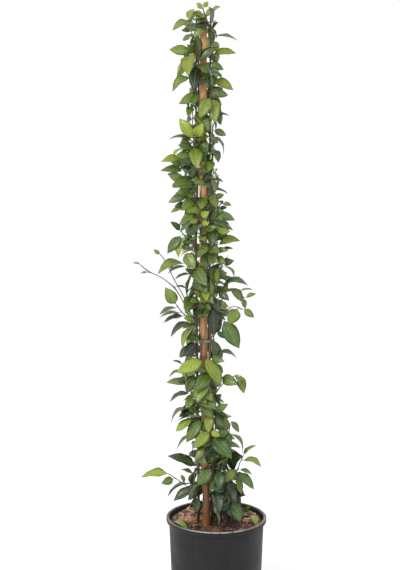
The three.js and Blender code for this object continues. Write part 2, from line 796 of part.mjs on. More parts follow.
function keep(solid) {
  taken.push({ solid, box: solid.boundingBox() });
}

function isClear(solid, clearance, except) {
  const box = solid.boundingBox();
  const near = taken.filter((other) => {
    if (other.solid === except) return false;
    return [0, 1, 2].every((axis) => {
      const below = box.min[axis] - clearance > other.box.max[axis];
      const above = box.max[axis] + clearance < other.box.min[axis];
      return !below && !above;
    });
  });
  return near.every((other) => solid.minGap(other.solid, clearance + 0.1) > clearance);
}

// A shoot's frame: the front view as it is, or turned round the cane and lifted.
function roundCane(point, degrees, lift) {
  const centre = caneCentre(point.z);
  const pivot = new THREE.Vector2(centre.x, centre.y);
  const spot = new THREE.Vector2(point.x, point.y).rotateAround(pivot, THREE.MathUtils.degToRad(degrees));
  return new THREE.Vector3(spot.x, spot.y, point.z + lift);
}

function nearestVineFoot(point, drop) {
  const feet = VINES.map((vine) => {
    const rough = vineCentre(vine, point.z);
    const away = Math.hypot(rough.x - point.x, rough.y - point.y);
    const height = Math.min(point.z - TWIG_SLOPE * away - drop, VINE_TOP - 4);
    const centre = vineCentre(vine, height);
    return { away, place: new THREE.Vector3(centre.x, centre.y, height) };
  });
  return feet.reduce((best, foot) => (foot.away < best.away ? foot : best)).place;
}

function twigSection(radius) {
  const section = new THREE.Shape();
  for (let side = 0; side < TWIG_SIDES; side++) {
    const angle = (side * 2 * Math.PI) / TWIG_SIDES;
    const corner = [radius * Math.cos(angle), radius * Math.sin(angle)];
    if (side === 0) section.moveTo(...corner);
    else section.lineTo(...corner);
  }
  return section;
}

function tube(curve, radius, steps) {
  const options = { steps, extrudePath: curve, bevelEnabled: false };
  return solidOf(new THREE.ExtrudeGeometry(twigSection(radius), options));
}

function makeTwig(points) {
  const curve = new THREE.CatmullRomCurve3(points);
  const steps = points.length + 2;
  const corners = curve.getSpacedPoints(steps);
  const centres = [];
  for (let step = 0; step < steps; step++) {
    const [from, to] = [corners[step], corners[step + 1]];
    for (const share of [0, 0.2, 0.4, 0.6, 0.8]) centres.push(from.clone().lerp(to, share));
  }
  const bodies = tube(curve, TWIG_RADIUS, steps).subtract(stemCutter).decompose();
  return { centres, solid: bodies[0], whole: bodies.length === 1 };
}

const DROPS = [0, 5, -5, 10, -10, 16, 24, -16];

function growTwig(shoot) {
  const points = shoot.twig.map((spot) => roundCane(place(spot), shoot.turn, shoot.lift));
  for (const drop of DROPS) {
    const foot = shoot.inSoil ? [] : [nearestVineFoot(points[0], drop)];
    const twig = makeTwig([...foot, ...points]);
    if (twig.whole && isClear(twig.solid, TWIG_CLEARANCE)) {
      keep(twig.solid);
      return twig;
    }
  }
  throw new Error(shoot.name + " finds no free way for its twig");
}

// One leaf as the front view gives it, with a little more lean or roll where it must clear its neighbours.
function planLeaf(shoot, row, more) {
  const [across, up, , , seenWidth, age, lean, arch = LEAF_ARCH] = row;
  const base = new THREE.Vector2(across, up);
  const end = new THREE.Vector2(row[2], row[3]).rotateAround(base, THREE.MathUtils.degToRad(more.swing));
  const twigLine = new THREE.CatmullRomCurve3(shoot.twig.map((spot) => new THREE.Vector3(...spot)));
  const spots = twigLine.getPoints(40);
  const off = (spot) => Math.hypot(spot.x - across, spot.y - up);
  const forward = spots.reduce((best, spot) => (off(spot) < off(best) ? spot : best)).z;
  const seenLength = end.distanceTo(base);
  const stoutLength = seenWidth / LEAF_STOUT;
  const hidden = Math.sqrt(Math.max(0, stoutLength ** 2 - seenLength ** 2));
  const tipForward = forward + (lean ?? Math.min(hidden, MOST_LEAN)) + more.lean;
  const neckSeen = place([across, up, forward + more.forward]);
  const tipSeen = place([end.x, end.y, tipForward]);
  const along = tipSeen.clone().sub(neckSeen).normalize();
  const width = Math.max(LEAF_SLENDER * neckSeen.distanceTo(tipSeen), seenWidth * STEP);
  const facing = VIEWER.clone().sub(neckSeen).normalize();
  facing.addScaledVector(along, -facing.dot(along)).normalize();
  const skyward = along.clone().cross(facing);
  if (skyward.z < 0) skyward.negate();
  const roll = Math.acos(Math.min(1, (seenWidth * STEP) / width)) + THREE.MathUtils.degToRad(more.roll);
  const normal = facing.multiplyScalar(Math.cos(roll)).addScaledVector(skyward, Math.sin(roll));
  normal.applyAxisAngle(new THREE.Vector3(0, 0, 1), THREE.MathUtils.degToRad(shoot.turn));
  const neck = roundCane(neckSeen, shoot.turn, shoot.lift);
  const tip = roundCane(tipSeen, shoot.turn, shoot.lift);
  tip.lerp(neck, 1 - more.size);
  return { neck, tip, normal, width: width * more.size, arch, age };
}

// The stalk starts at the nearest place on the twig, and the neck stands off the twig by a few millimetres.
function joinToTwig(leaf, twig) {
  const start = twig.centres[0];
  const clearOfStem = twig.centres.filter((centre) => centre.distanceTo(start) > 2 * VINE_FOOT_RADIUS);
  const away = (centre) => centre.distanceTo(leaf.neck);
  leaf.root = clearOfStem.reduce((best, centre) => (away(centre) < away(best) ? centre : best));
  const shortfall = NECK_STANDOFF - away(leaf.root);
  if (shortfall > 0) {
    leaf.neck.addScaledVector(leaf.tip.clone().sub(leaf.neck).normalize(), shortfall);
  }
  return leaf;
}

const TRIES = [];
for (const size of [1, 0.85, 0.7]) {
  for (const swing of [0, 14, -14]) {
    for (const forward of [0, 3, 6, 9]) {
      for (const lean of [0, 4, -4, 8, -8, 14]) {
        for (const roll of [0, 20, -20]) TRIES.push({ size, swing, forward, lean, roll });
      }
    }
  }
}

function growLeaf(shoot, twig, row) {
  for (const more of TRIES) {
    const leaf = joinToTwig(planLeaf(shoot, row, more), twig);
    const blade = solidOf(leafGeometry(leaf, false));
    if (!isClear(blade, LEAF_CLEARANCE)) continue;
    const whole = solidOf(leafGeometry(leaf));
    if (!isClear(whole, LEAF_CLEARANCE, twig.solid)) continue;
    keep(whole);
    return whole;
  }
  return null;
}

// Wide leaves take their places first, in front and then at the rear.
function growShoots(entries) {
  const shoots = entries.map((entry) => ({ turn: 0, lift: 0, ...entry }));
  const twigs = shoots.map(growTwig);
  const pieces = twigs.map((twig) => [twig.solid]);
  const buds = shoots.flatMap((shoot, index) => shoot.leaves.map((row) => ({ shoot, index, row })));
  const rank = ({ shoot, row }) => (shoot.turn === 0 ? 0 : 100) - row[4];
  buds.sort((a, b) => rank(a) - rank(b));
  for (const { shoot, index, row } of buds) {
    const leaf = growLeaf(shoot, twigs[index], row);
    if (leaf) pieces[index].push(leaf);
  }
  return shoots.map(({ name }, index) => ({ name, solid: wasm.Manifold.union(pieces[index]) }));
}

// Loose leaves on the mulch: each is let down until it almost touches.
function fallenLeaf(neck, tip, age, below) {
  const root = neck.clone().lerp(tip, -0.18);
  const normal = new THREE.Vector3(0, 0, 1);
  const width = 0.5 * neck.distanceTo(tip);
  const [reach, rest, drop] = [5, 0.6, 0.25];
  let leaf = solidOf(leafGeometry({ root, neck, tip, normal, width, arch: 0.1, age }));
  while (leaf.minGap(below, reach) > rest) leaf = leaf.translate([0, 0, -drop]);
  return leaf;
}

// Assembly
const potted = new THREE.Group();

function addPiece(name, solid, color, roughness) {
  const material = new THREE.MeshStandardMaterial({ color, roughness, metalness: 0 });
  const mesh = new THREE.Mesh(geometryOf(solid), material);
  mesh.name = name;
  potted.add(mesh);
}

const rootBall = makeRootBall();
const [seedlingFoot, seedlingBend] = SEEDLING.twig.map(place);
const socketLine = new THREE.LineCurve3(seedlingFoot.clone().lerp(seedlingBend, -0.2), seedlingBend);
const mulch = makeMulch().subtract(tube(socketLine, TWIG_RADIUS + GAP, 1));
const ties = TIE_HEIGHTS.map(makeTie);
const pot = makePot();
[pot, mulch, cane, ...vines, ...ties].forEach(keep);

const fallen = [
  ["fallen_leaf_left", [-58, -40, 0], [-86, -12, 7], 0.1],
  ["fallen_leaf_right", [79, -16, 0], [72, 18, 9], 0],
].map(([name, from, to, age]) => {
  const ends = [from, to].map(([x, y, rise]) => new THREE.Vector3(x, y, MULCH_TOP + 12 + rise));
  const solid = fallenLeaf(...ends, age, mulch);
  keep(solid);
  return { name, solid };
});

const frontEntries = Object.entries(FRONT_SHOOTS).map(([name, shoot]) => ({ name, ...shoot }));
const rearEntries = REAR_SHOOTS.map(([name, turn, lift], index) => ({
  ...FRONT_SHOOTS[name],
  name: "rear_shoot_" + (index + 1),
  turn,
  lift,
}));
const seedlingEntry = { name: "seedling", ...SEEDLING, inSoil: true };
const shoots = growShoots([...frontEntries, seedlingEntry, ...rearEntries]);

addPiece("pot", pot, 0x2e2f31, 0.45);
addPiece("root_ball", rootBall, 0x4a332b, 0.95);
addPiece("bark_mulch", mulch, 0x9a6a48, 0.9);
addPiece("bamboo_cane", cane, 0xc88f58, 0.6);
ties.forEach((tie, index) => addPiece("tie_" + (index + 1), tie, 0x2f8f80, 0.5));
vines.forEach((vine, index) => addPiece(VINES[index].name, vine, 0x7d5847, 0.8));
fallen.forEach(({ name, solid }) => addPiece(name, solid, 0xa9b83e, 0.5));
shoots.forEach(({ name, solid }) => addPiece(name, solid, 0x55803f, 0.4));

export default potted;
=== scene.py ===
import math
import random

import bpy
import numpy as np
from mathutils import Matrix, Vector
from mathutils.bvhtree import BVHTree


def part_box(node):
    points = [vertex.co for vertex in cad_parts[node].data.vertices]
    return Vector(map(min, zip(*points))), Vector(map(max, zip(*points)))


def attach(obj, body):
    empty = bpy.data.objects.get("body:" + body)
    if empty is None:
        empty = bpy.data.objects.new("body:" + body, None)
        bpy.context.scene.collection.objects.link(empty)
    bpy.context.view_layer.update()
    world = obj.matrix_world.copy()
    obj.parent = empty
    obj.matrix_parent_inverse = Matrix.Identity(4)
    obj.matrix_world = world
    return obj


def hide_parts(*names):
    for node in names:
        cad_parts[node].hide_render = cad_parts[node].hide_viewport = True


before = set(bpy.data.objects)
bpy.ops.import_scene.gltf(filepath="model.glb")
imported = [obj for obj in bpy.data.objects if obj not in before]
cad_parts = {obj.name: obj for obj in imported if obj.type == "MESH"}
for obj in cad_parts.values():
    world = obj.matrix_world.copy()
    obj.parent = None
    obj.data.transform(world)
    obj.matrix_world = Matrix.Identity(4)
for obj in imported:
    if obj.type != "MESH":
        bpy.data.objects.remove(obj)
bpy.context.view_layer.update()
bpy.ops.object.select_all(action="DESELECT")

# Camera
# The plant was photographed from the front, from 1.6 m away, with a level camera a little above its middle
# and the lens shifted down, so that upright lines stay upright.
CAMERA_PLACE = (-0.0326, -1.6, 0.721)
LENS_LENGTH = 50.53
SENSOR_WIDTH = 36
LENS_SHIFT = -0.0614

camera = bpy.data.objects.new("camera", bpy.data.cameras.new("camera"))
bpy.context.collection.objects.link(camera)
camera.data.lens = LENS_LENGTH
camera.data.sensor_width = SENSOR_WIDTH
camera.data.shift_y = LENS_SHIFT
camera.location = CAMERA_PLACE
camera.rotation_euler = (math.radians(90), 0, 0)
bpy.context.scene.camera = camera

# Nursery pot
# A thin pot of recycled black plastic, 200 mm across its rolled rim and 190 mm high, with a 2 mm wall. It
# stands on a low foot ring, and six round holes in its floor let the water out.
POT_SIDES = 96
POT_PROFILE = [
    (0.020, 0.0012),
    (0.050, 0.0012),
    (0.077, 0.0012),
    (0.0795, 0.0),
    (0.0840, 0.0),
    (0.0858, 0.0012),
    (0.0862, 0.004),
    (0.0886, 0.055),
    (0.0914, 0.115),
    (0.0943, 0.176),
    (0.0945, 0.1798),
    (0.0956, 0.1806),
    (0.0983, 0.1808),
    (0.0996, 0.1822),
    (0.1000, 0.1845),
    (0.1000, 0.1884),
    (0.0995, 0.1895),
    (0.0985, 0.1900),
    (0.0952, 0.1899),
    (0.0942, 0.1892),
    (0.0936, 0.1872),
    (0.0925, 0.1790),
    (0.0923, 0.1760),
    (0.0894, 0.115),
    (0.0866, 0.055),
    (0.0844, 0.0055),
    (0.0825, 0.0028),
    (0.050, 0.0026),
    (0.020, 0.0026),
]
DRAIN_HOLES = 6
DRAIN_RADIUS = 0.006
DRAIN_CIRCLE = 0.060
DRAIN_BIT = 0.02


def editing(piece):
    bpy.ops.object.select_all(action="DESELECT")
    bpy.context.view_layer.objects.active = piece
    piece.select_set(True)
    bpy.ops.object.mode_set(mode="EDIT")
    bpy.ops.mesh.select_all(action="SELECT")


def done_editing():
    bpy.ops.object.mode_set(mode="OBJECT")


def finished(piece, angle=40):
    done_editing()
    bpy.ops.object.transform_apply(location=True, rotation=True, scale=True)
    bpy.ops.object.shade_smooth_by_angle(angle=math.radians(angle))


def grow_ring(sides, stations):
    """A closed tube: a ring of points drawn on from one (radius, centre) to the next, closed at both ends."""
    radius, centre = stations[0]
    bpy.ops.mesh.primitive_circle_add(vertices=sides, radius=radius, location=centre)
    piece = bpy.context.object
    editing(piece)
    bpy.ops.mesh.edge_face_add()
    bpy.ops.mesh.select_mode(type="FACE")
    for next_radius, next_centre in stations[1:]:
        step = Vector(next_centre) - Vector(centre)
        bpy.ops.mesh.extrude_region_move(TRANSFORM_OT_translate={"value": step})
        grown = next_radius / radius
        bpy.ops.transform.resize(value=(grown, grown, 1), center_override=next_centre)
        radius, centre = next_radius, next_centre
    bpy.ops.mesh.poke()
    bpy.ops.mesh.select_mode(type="VERT")
    bpy.ops.mesh.select_all(action="SELECT")
    bpy.ops.mesh.normals_make_consistent(inside=False)
    return piece


def apply_modifier(piece, kind, **settings):
    bpy.context.view_layer.objects.active = piece
    modifier = piece.modifiers.new(kind.lower(), kind)
    for name, value in settings.items():
        setattr(modifier, name, value)
    bpy.ops.object.modifier_apply(modifier=modifier.name)


def srgb(red, green, blue):
    """A colour in 0 to 255 as the linear colour that a shader takes."""
    linear = [
        part / 12.92 if part <= 0.04045 else ((part + 0.055) / 1.055) ** 2.4
        for part in (red / 255, green / 255, blue / 255)
    ]
    return (*linear, 1.0)


def new_finish(name, roughness, **sockets):
    finish = bpy.data.materials.new(name)
    finish.use_nodes = True
    shader = finish.node_tree.nodes["Principled BSDF"]
    shader.inputs["Roughness"].default_value = roughness
    for socket, value in sockets.items():
        shader.inputs[socket.replace("_", " ")].default_value = value
    return finish


def put(tree, kind, inputs=None, **settings):
    """Adds a shader node. For each input it is given a socket to join on, or a value to set."""
    node = tree.nodes.new("ShaderNode" + kind)
    for name, value in settings.items():
        setattr(node, name, value)
    for name, value in (inputs or {}).items():
        if isinstance(value, bpy.types.NodeSocket):
            tree.links.new(value, node.inputs[name])
        else:
            node.inputs[name].default_value = value
    return node


def object_place(finish):
    """The object's own coordinates, as the outputs X, Y and Z."""
    place = put(finish.node_tree, "TexCoord").outputs["Object"]
    return put(finish.node_tree, "SeparateXYZ", {"Vector": place}).outputs


def stored(finish, name):
    """A value stored at the points of a piece."""
    return put(finish.node_tree, "Attribute", attribute_name=name).outputs["Fac"]


def grain(finish, scale, stretch=(1, 1, 1), detail=4, coarse=0.55):
    """Noise on the object's own coordinates, scale in spots per metre."""
    place = put(finish.node_tree, "TexCoord").outputs["Object"]
    turned = put(finish.node_tree, "Mapping", {"Vector": place, "Scale": stretch}).outputs[0]
    inputs = {"Vector": turned, "Scale": scale, "Detail": detail, "Roughness": coarse}
    return put(finish.node_tree, "TexNoise", inputs).outputs["Fac"]


def tints(factor, stops):
    """Colours along a factor. Each stop is a place and a colour in 0 to 255."""
    ramp = put(factor.id_data, "ValToRGB", {"Fac": factor})
    elements = ramp.color_ramp.elements
    while len(elements) < len(stops):
        elements.new(0.5)
    for element, (place, *colour) in zip(elements, stops):
        element.position = place
        element.color = srgb(*colour)
    return ramp.outputs["Color"]


def spread(factor, low, high, start=0.3, end=0.7):
    """Maps a factor from start..end to low..high."""
    inputs = {"Value": factor, "From Min": start, "From Max": end, "To Min": low, "To Max": high}
    return put(factor.id_data, "MapRange", inputs).outputs["Result"]


def blend(factor, first, second, mode="MIX"):
    """Mixes two colours. The factor or the first colour has to be a socket."""
    source = factor if isinstance(factor, bpy.types.NodeSocket) else first
    inputs = {0: factor, 6: first, 7: second}
    return put(source.id_data, "Mix", inputs, data_type="RGBA", blend_type=mode).outputs[2]


def shaded(share, colour, spots, dark, low, high):
    """A colour with a dark tone multiplied over it where the spots are low."""
    return blend(share, colour, tints(spots, [(low, *dark), (high, 255, 255, 255)]), "MULTIPLY")


def dents(height, depth, strength=1.0):
    inputs = {"Height": height, "Distance": depth, "Strength": strength}
    return put(height.id_data, "Bump", inputs).outputs["Normal"]


def wire(finish, **sockets):
    shader = finish.node_tree.nodes["Principled BSDF"]
    for socket, value in sockets.items():
        finish.node_tree.links.new(value, shader.inputs[socket.replace("_", " ")])


pot = grow_ring(POT_SIDES, [(radius, (0, 0, height)) for radius, height in POT_PROFILE])
finished(pot, 30)
bits = []
for hole in range(DRAIN_HOLES):
    angle = (hole + 0.5) * 2 * math.pi / DRAIN_HOLES
    centre = (DRAIN_CIRCLE * math.cos(angle), DRAIN_CIRCLE * math.sin(angle), 0)
    bpy.ops.mesh.primitive_cylinder_add(vertices=24, radius=DRAIN_RADIUS, depth=DRAIN_BIT, location=centre)
    bits.append(bpy.context.object)
for bit in bits:
    apply_modifier(pot, "BOOLEAN", operation="DIFFERENCE", object=bit)
    bpy.data.objects.remove(bit)
editing(pot)
bpy.ops.mesh.normals_make_consistent(inside=False)
finished(pot, 30)
pot.name = "pot_shell"

plastic = new_finish("black moulded plastic", 0.55, Specular_IOR_Level=0.3)
streaks = grain(plastic, 70, (1, 1, 0.05), 5)
scuffs = grain(plastic, 420, (1, 1, 0.5), 8, 0.7)
clouds = grain(plastic, 24)
plastic_tone = tints(streaks, [(0.3, 10, 10, 11), (0.55, 16, 16, 17), (0.75, 26, 26, 27)])
dust_amount = spread(scuffs, 0.0, 0.4, 0.6, 0.78)
dusty = blend(dust_amount, plastic_tone, srgb(92, 84, 76))
pot_place = object_place(plastic)
# Painted highlight: the rim's top is painted pale grey in streaks, paler at the front, for the light that it
# catches.
rim_top = spread(pot_place["Z"], 0.0, 1.0, 0.1888, 0.1897)
streaky_rim_highlight = tints(streaks, [(0.35, 150, 150, 150), (0.6, 235, 235, 235)])
rim_highlight = blend(rim_top, (0, 0, 0, 1), streaky_rim_highlight)
from_front = spread(pot_place["Y"], 0.0, 1.0, -0.096, -0.07)
rim_highlight_tone = blend(from_front, srgb(196, 180, 172), srgb(138, 130, 126))
rim_highlighted = blend(rim_highlight, dusty, rim_highlight_tone)
wire(
    plastic,
    Base_Color=rim_highlighted,
    Roughness=spread(clouds, 0.46, 0.62),
    Normal=dents(blend(0.4, streaks, scuffs), 0.0004, 0.5),
)
pot.data.materials.append(plastic)
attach(pot, "root")
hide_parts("pot")

# Root ball
# Potting soil held together by roots, which fills the pot to 20 mm under its rim. The drain holes and the
# gap along the wall are where it shows.
soil = new_finish("dark potting soil", 0.95)
crumbs = grain(soil, 260, detail=8, coarse=0.7)
soil_tone = tints(crumbs, [(0.3, 22, 15, 12), (0.5, 52, 36, 29), (0.7, 88, 62, 48)])
wire(soil, Base_Color=soil_tone, Normal=dents(crumbs, 0.003))
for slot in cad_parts["root_ball"].material_slots:
    slot.material = soil

# Bark mulch
# A loose layer over the soil, heaped against the wall at the back and the sides: crumbled bark as the
# ground, torn chips 5 to 16 mm long on it, orange-tan at the left and pale pink at the right, and fine
# pinkish gravel.
MULCH_RADIUS = 0.0914
MULCH_TOP = 0.1745
MULCH_DEPTH = 0.003
MULCH_RINGS = 34
MULCH_LUMPS = ((0.03, 0.004), (0.006, 0.0035), (0.0022, 0.0016))
HEAP_HEIGHT = 0.0065
HEAP_OUTWARD = (0.035, 0.042)
HEAP_BACKWARD = (-0.02, 0.045)
MULCH_CHIPS = 520
CHIP_LENGTHS = (0.005, 0.016)
CHIP_LIFTS = (0.0005, 0.0034)
MULCH_PEBBLES = 520
PEBBLE_LENGTHS = (0.0018, 0.0045)
PEBBLE_LIFTS = (0.001, 0.003)
TAN_PATCH = (-0.062, 0.022, 0.034)
PINK_PATCH = (0.076, 0.012, 0.028)

bpy.ops.mesh.primitive_circle_add(
    vertices=POT_SIDES, radius=MULCH_RADIUS, fill_type="NGON", location=(0, 0, MULCH_TOP)
)
mulch = bpy.context.object
editing(mulch)
bpy.ops.mesh.select_mode(type="FACE")
for ring in range(MULCH_RINGS):
    bpy.ops.mesh.inset(thickness=MULCH_RADIUS / (MULCH_RINGS + 1))
bpy.ops.mesh.poke()
bpy.ops.mesh.select_mode(type="VERT")
finished(mulch)
for size, height in MULCH_LUMPS:
    lumps = bpy.data.textures.new("mulch lumps", "CLOUDS")
    lumps.noise_scale = size
    apply_modifier(mulch, "DISPLACE", texture=lumps, direction="Z", strength=height)
apply_modifier(mulch, "SOLIDIFY", thickness=MULCH_DEPTH, offset=-1)
mulch.name = "mulch_ground"


def within(low, high, value):
    return min(high, max(low, value))


def heaped(x, y):
    """How far the mulch is heaped up against the wall at the back and the sides."""
    outward = within(0, 1, (math.hypot(x, y) - HEAP_OUTWARD[0]) / HEAP_OUTWARD[1])
    backward = within(0, 1, (y - HEAP_BACKWARD[0]) / HEAP_BACKWARD[1])
    return HEAP_HEIGHT * outward * outward * (3 - 2 * outward) * backward


for vertex in mulch.data.vertices:
    vertex.co.z += heaped(vertex.co.x, vertex.co.y)

crumble = new_finish("crumbled bark", 0.95)
flakes = grain(crumble, 330, detail=8, coarse=0.75)
patches = grain(crumble, 28)
brown_crumbs = tints(flakes, [(0.35, 42, 34, 30), (0.52, 104, 87, 74), (0.7, 186, 168, 148)])
purple_crumbs = tints(flakes, [(0.35, 46, 35, 35), (0.55, 116, 88, 84), (0.72, 198, 172, 160)])
purple_share = spread(patches, 0, 1, 0.42, 0.58)
crumb_tone = blend(purple_share, brown_crumbs, purple_crumbs)
wire(crumble, Base_Color=crumb_tone, Normal=dents(flakes, 0.002))
mulch.data.materials.append(crumble)
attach(mulch, "root")
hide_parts("bark_mulch")


def new_attribute(piece, name, value=0.0):
    attribute = piece.data.attributes.new(name, "FLOAT", "POINT")
    attribute.data.foreach_set("value", [value] * len(piece.data.vertices))


def copy_of(master, points=None, **marks):
    """A copy with its own mesh, its points moved to the given places and its attributes set."""
    piece = bpy.data.objects.new(master.name, master.data.copy())
    bpy.context.collection.objects.link(piece)
    if points is not None:
        piece.data.vertices.foreach_set("co", np.asarray(points, "f").ravel())
    for name, value in marks.items():
        piece.data.attributes[name].data.foreach_set("value", [value] * len(piece.data.vertices))
    return piece


def points_of(piece):
    points = np.empty(3 * len(piece.data.vertices), "f")
    piece.data.vertices.foreach_get("co", points)
    return points.reshape(-1, 3)


def joined(pieces, name):
    bpy.ops.object.select_all(action="DESELECT")
    for piece in pieces:
        piece.select_set(True)
    bpy.context.view_layer.objects.active = pieces[0]
    if len(pieces) > 1:
        bpy.ops.object.join()
    pieces[0].name = name
    return pieces[0]


def roughened(size, cuts, offset, seed, angle):
    """The shape just added, squashed and made uneven."""
    bit = bpy.context.object
    editing(bit)
    bpy.ops.transform.resize(value=size)
    if cuts:
        bpy.ops.mesh.subdivide(number_cuts=cuts)
    bpy.ops.transform.vertex_random(offset=offset, seed=seed)
    finished(bit, angle)
    new_attribute(bit, "tone")
    return bit


def strewn(masters, count, lengths, lifts, seed, name, tone_at):
    """Copies that lie about on the mulch, each turned and tilted in its own way."""
    shortest, longest = lengths
    dice = random.Random(seed)
    pieces = []
    for number in range(count):
        master = masters[number % len(masters)]
        length = dice.triangular(shortest, longest, shortest * 1.3)
        far = (MULCH_RADIUS - 0.5 * length - 0.0012) * math.sqrt(dice.random())
        angle = dice.uniform(0, 2 * math.pi)
        x, y = far * math.cos(angle), far * math.sin(angle)
        place = Vector((x, y, MULCH_TOP + heaped(x, y) + dice.uniform(*lifts)))
        turn = (
            Matrix.Rotation(dice.uniform(0, 2 * math.pi), 3, "Z")
            @ Matrix.Rotation(dice.gauss(0, 0.25), 3, "Y")
            @ Matrix.Rotation(dice.gauss(0, 0.3), 3, "X")
        )
        wide = dice.uniform(0.7, 1.25)
        shape = points_of(master) * length * np.array([1.0, wide, dice.uniform(0.7, 1.3)])
        points = shape @ np.array(turn).T + np.array(place)
        pieces.append(copy_of(master, points, tone=tone_at(place, dice)))
    return joined(pieces, name)


def chip_tone(place, dice):
    """0 dark purple-brown, 0.5 orange-tan, 1 pale pink."""
    tone = dice.triangular(0.0, 0.42, 0.05)
    for (x, y, size), tones in ((TAN_PATCH, (0.5, 0.85)), (PINK_PATCH, (0.75, 1.0))):
        nearness = math.exp(-((place.x - x) ** 2 + (place.y - y) ** 2) / size**2)
        tone += (dice.uniform(*tones) - tone) * min(1.0, 1.3 * nearness)
    return tone


def pebble_tone(place, dice):
    """Paler towards the front."""
    front = within(0, 1, (-place.y - 0.005) / 0.03)
    return dice.triangular(0.0, 1.0, 0.25 + 0.5 * front)


chips = []
for seed in range(1, 5):
    bpy.ops.mesh.primitive_cube_add(size=1)
    chips.append(roughened((1.0, 0.5, 0.17), 1, 0.12, seed, 25))
bark_chips = strewn(chips, MULCH_CHIPS, CHIP_LENGTHS, CHIP_LIFTS, 3, "mulch_chips", chip_tone)
pebbles = []
for seed in range(1, 4):
    bpy.ops.mesh.primitive_ico_sphere_add(subdivisions=1, radius=0.5)
    pebbles.append(roughened((1.0, 0.8, 0.6), 0, 0.13, seed, 60))
gravel = strewn(pebbles, MULCH_PEBBLES, PEBBLE_LENGTHS, PEBBLE_LIFTS, 8, "mulch_gravel", pebble_tone)
for master in (*chips, *pebbles):
    bpy.data.objects.remove(master)

torn_bark = new_finish("torn bark", 0.9)
fibres = grain(torn_bark, 900, detail=6, coarse=0.7)
BARK_TONES = [
    (0.0, 58, 44, 38),
    (0.25, 122, 92, 74),
    (0.55, 222, 160, 112),
    (0.78, 244, 202, 168),
    (1.0, 250, 226, 206),
]
bark_tone = tints(stored(torn_bark, "tone"), BARK_TONES)
wire(
    torn_bark,
    Base_Color=shaded(0.85, bark_tone, fibres, (120, 110, 105), 0.3, 0.7),
    Normal=dents(fibres, 0.0008),
)
stone = new_finish("pinkish gravel", 0.75)
specks = grain(stone, 1500, detail=5, coarse=0.7)
stone_tone = tints(
    stored(stone, "tone"),
    [(0.0, 74, 54, 52), (0.35, 160, 124, 112), (0.7, 220, 186, 172), (1.0, 250, 236, 226)],
)
wire(
    stone,
    Base_Color=shaded(0.8, stone_tone, specks, (150, 140, 138), 0.35, 0.6),
    Normal=dents(specks, 0.0004),
)
for piece, finish in ((bark_chips, torn_bark), (gravel, stone)):
    piece.data.materials.append(finish)
    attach(piece, "root")

# Bamboo cane
# A culm 14 mm thick, pushed into the soil, with a stain near its foot and painted shade that darkens it lower
# down and leaves it paler above. It bows a little to the left. Each of its four joints has the scar ridge of
# the sheath, a groove over it and a second, softer ridge.
CANE_FOOT = Vector((-0.0198, -0.026, 0.190))
CANE_TOP = Vector((-0.0257, -0.024, 1.182))
CANE_BOTTOM = 0.084
CANE_BOW = 0.0036
CANE_RADII = (0.0070, 0.0071)
CANE_JOINTS = (0.262, 0.511, 0.742, 0.958)
CANE_RING_GAP = 0.022
JOINT_REACH = 0.021
JOINT_STAIN = 0.014
JOINT_PROFILE = [
    (-0.016, 0.0),
    (-0.006, 0.0001),
    (-0.0028, 0.0005),
    (-0.0014, 0.0012),
    (-0.0006, 0.0011),
    (0.0002, 0.0002),
    (0.0012, 0.0004),
    (0.0030, 0.0009),
    (0.0048, 0.0006),
    (0.0090, 0.0001),
    (0.020, 0.0),
]


def cane_centre(height):
    share = (height - CANE_FOOT.z) / (CANE_TOP.z - CANE_FOOT.z)
    centre = CANE_FOOT.lerp(CANE_TOP, max(-0.2, min(1.0, share)))
    return Vector((centre.x - CANE_BOW * math.sin(math.pi * share), centre.y, height))


def cane_radius(height):
    share = (height - CANE_BOTTOM) / (CANE_TOP.z - CANE_BOTTOM)
    return CANE_RADII[0] + (CANE_RADII[1] - CANE_RADII[0]) * share


cane_rings = [
    (height, 0.0)
    for height in np.arange(CANE_BOTTOM, CANE_TOP.z - 0.001, CANE_RING_GAP)
    if all(abs(height - joint) > JOINT_REACH for joint in CANE_JOINTS)
]
cane_rings += [(joint + above, swell) for joint in CANE_JOINTS for above, swell in JOINT_PROFILE]
cane_rings = sorted(cane_rings) + [(CANE_TOP.z - 0.0006, 0.0), (CANE_TOP.z, -0.0005)]
cane_stations = [(cane_radius(height) + swell, cane_centre(height)) for height, swell in cane_rings]
top_centre = cane_centre(CANE_TOP.z)
cane_stations += [
    (0.0036, top_centre),
    (0.0034, top_centre - Vector((0, 0, 0.012))),
    (0.0010, top_centre - Vector((0, 0, 0.0125))),
]
cane = grow_ring(20, cane_stations)
finished(cane, 50)
cane.name = "cane_culm"
new_attribute(cane, "joint")
joint_shade = [
    max(0.0, 1 - min(abs(point[2] - joint) for joint in CANE_JOINTS) / JOINT_STAIN)
    for point in points_of(cane)
]
cane.data.attributes["joint"].data.foreach_set("value", joint_shade)

bamboo = new_finish("tan bamboo", 0.4, Coat_Weight=0.12, Coat_Roughness=0.3)
cane_fibres = grain(bamboo, 900, (1, 1, 0.02), 5, 0.6)
cane_blotches = grain(bamboo, 45, (1, 1, 0.35), 5)
cane_smudges = grain(bamboo, 9, (1, 1, 1), 2)
cane_tone = tints(
    cane_blotches,
    [(0.3, 140, 92, 52), (0.48, 190, 138, 86), (0.62, 212, 160, 104), (0.8, 236, 196, 136)],
)
fibred = shaded(0.75, cane_tone, cane_fibres, (196, 170, 150), 0.3, 0.65)
cane_height = object_place(bamboo)["Z"]
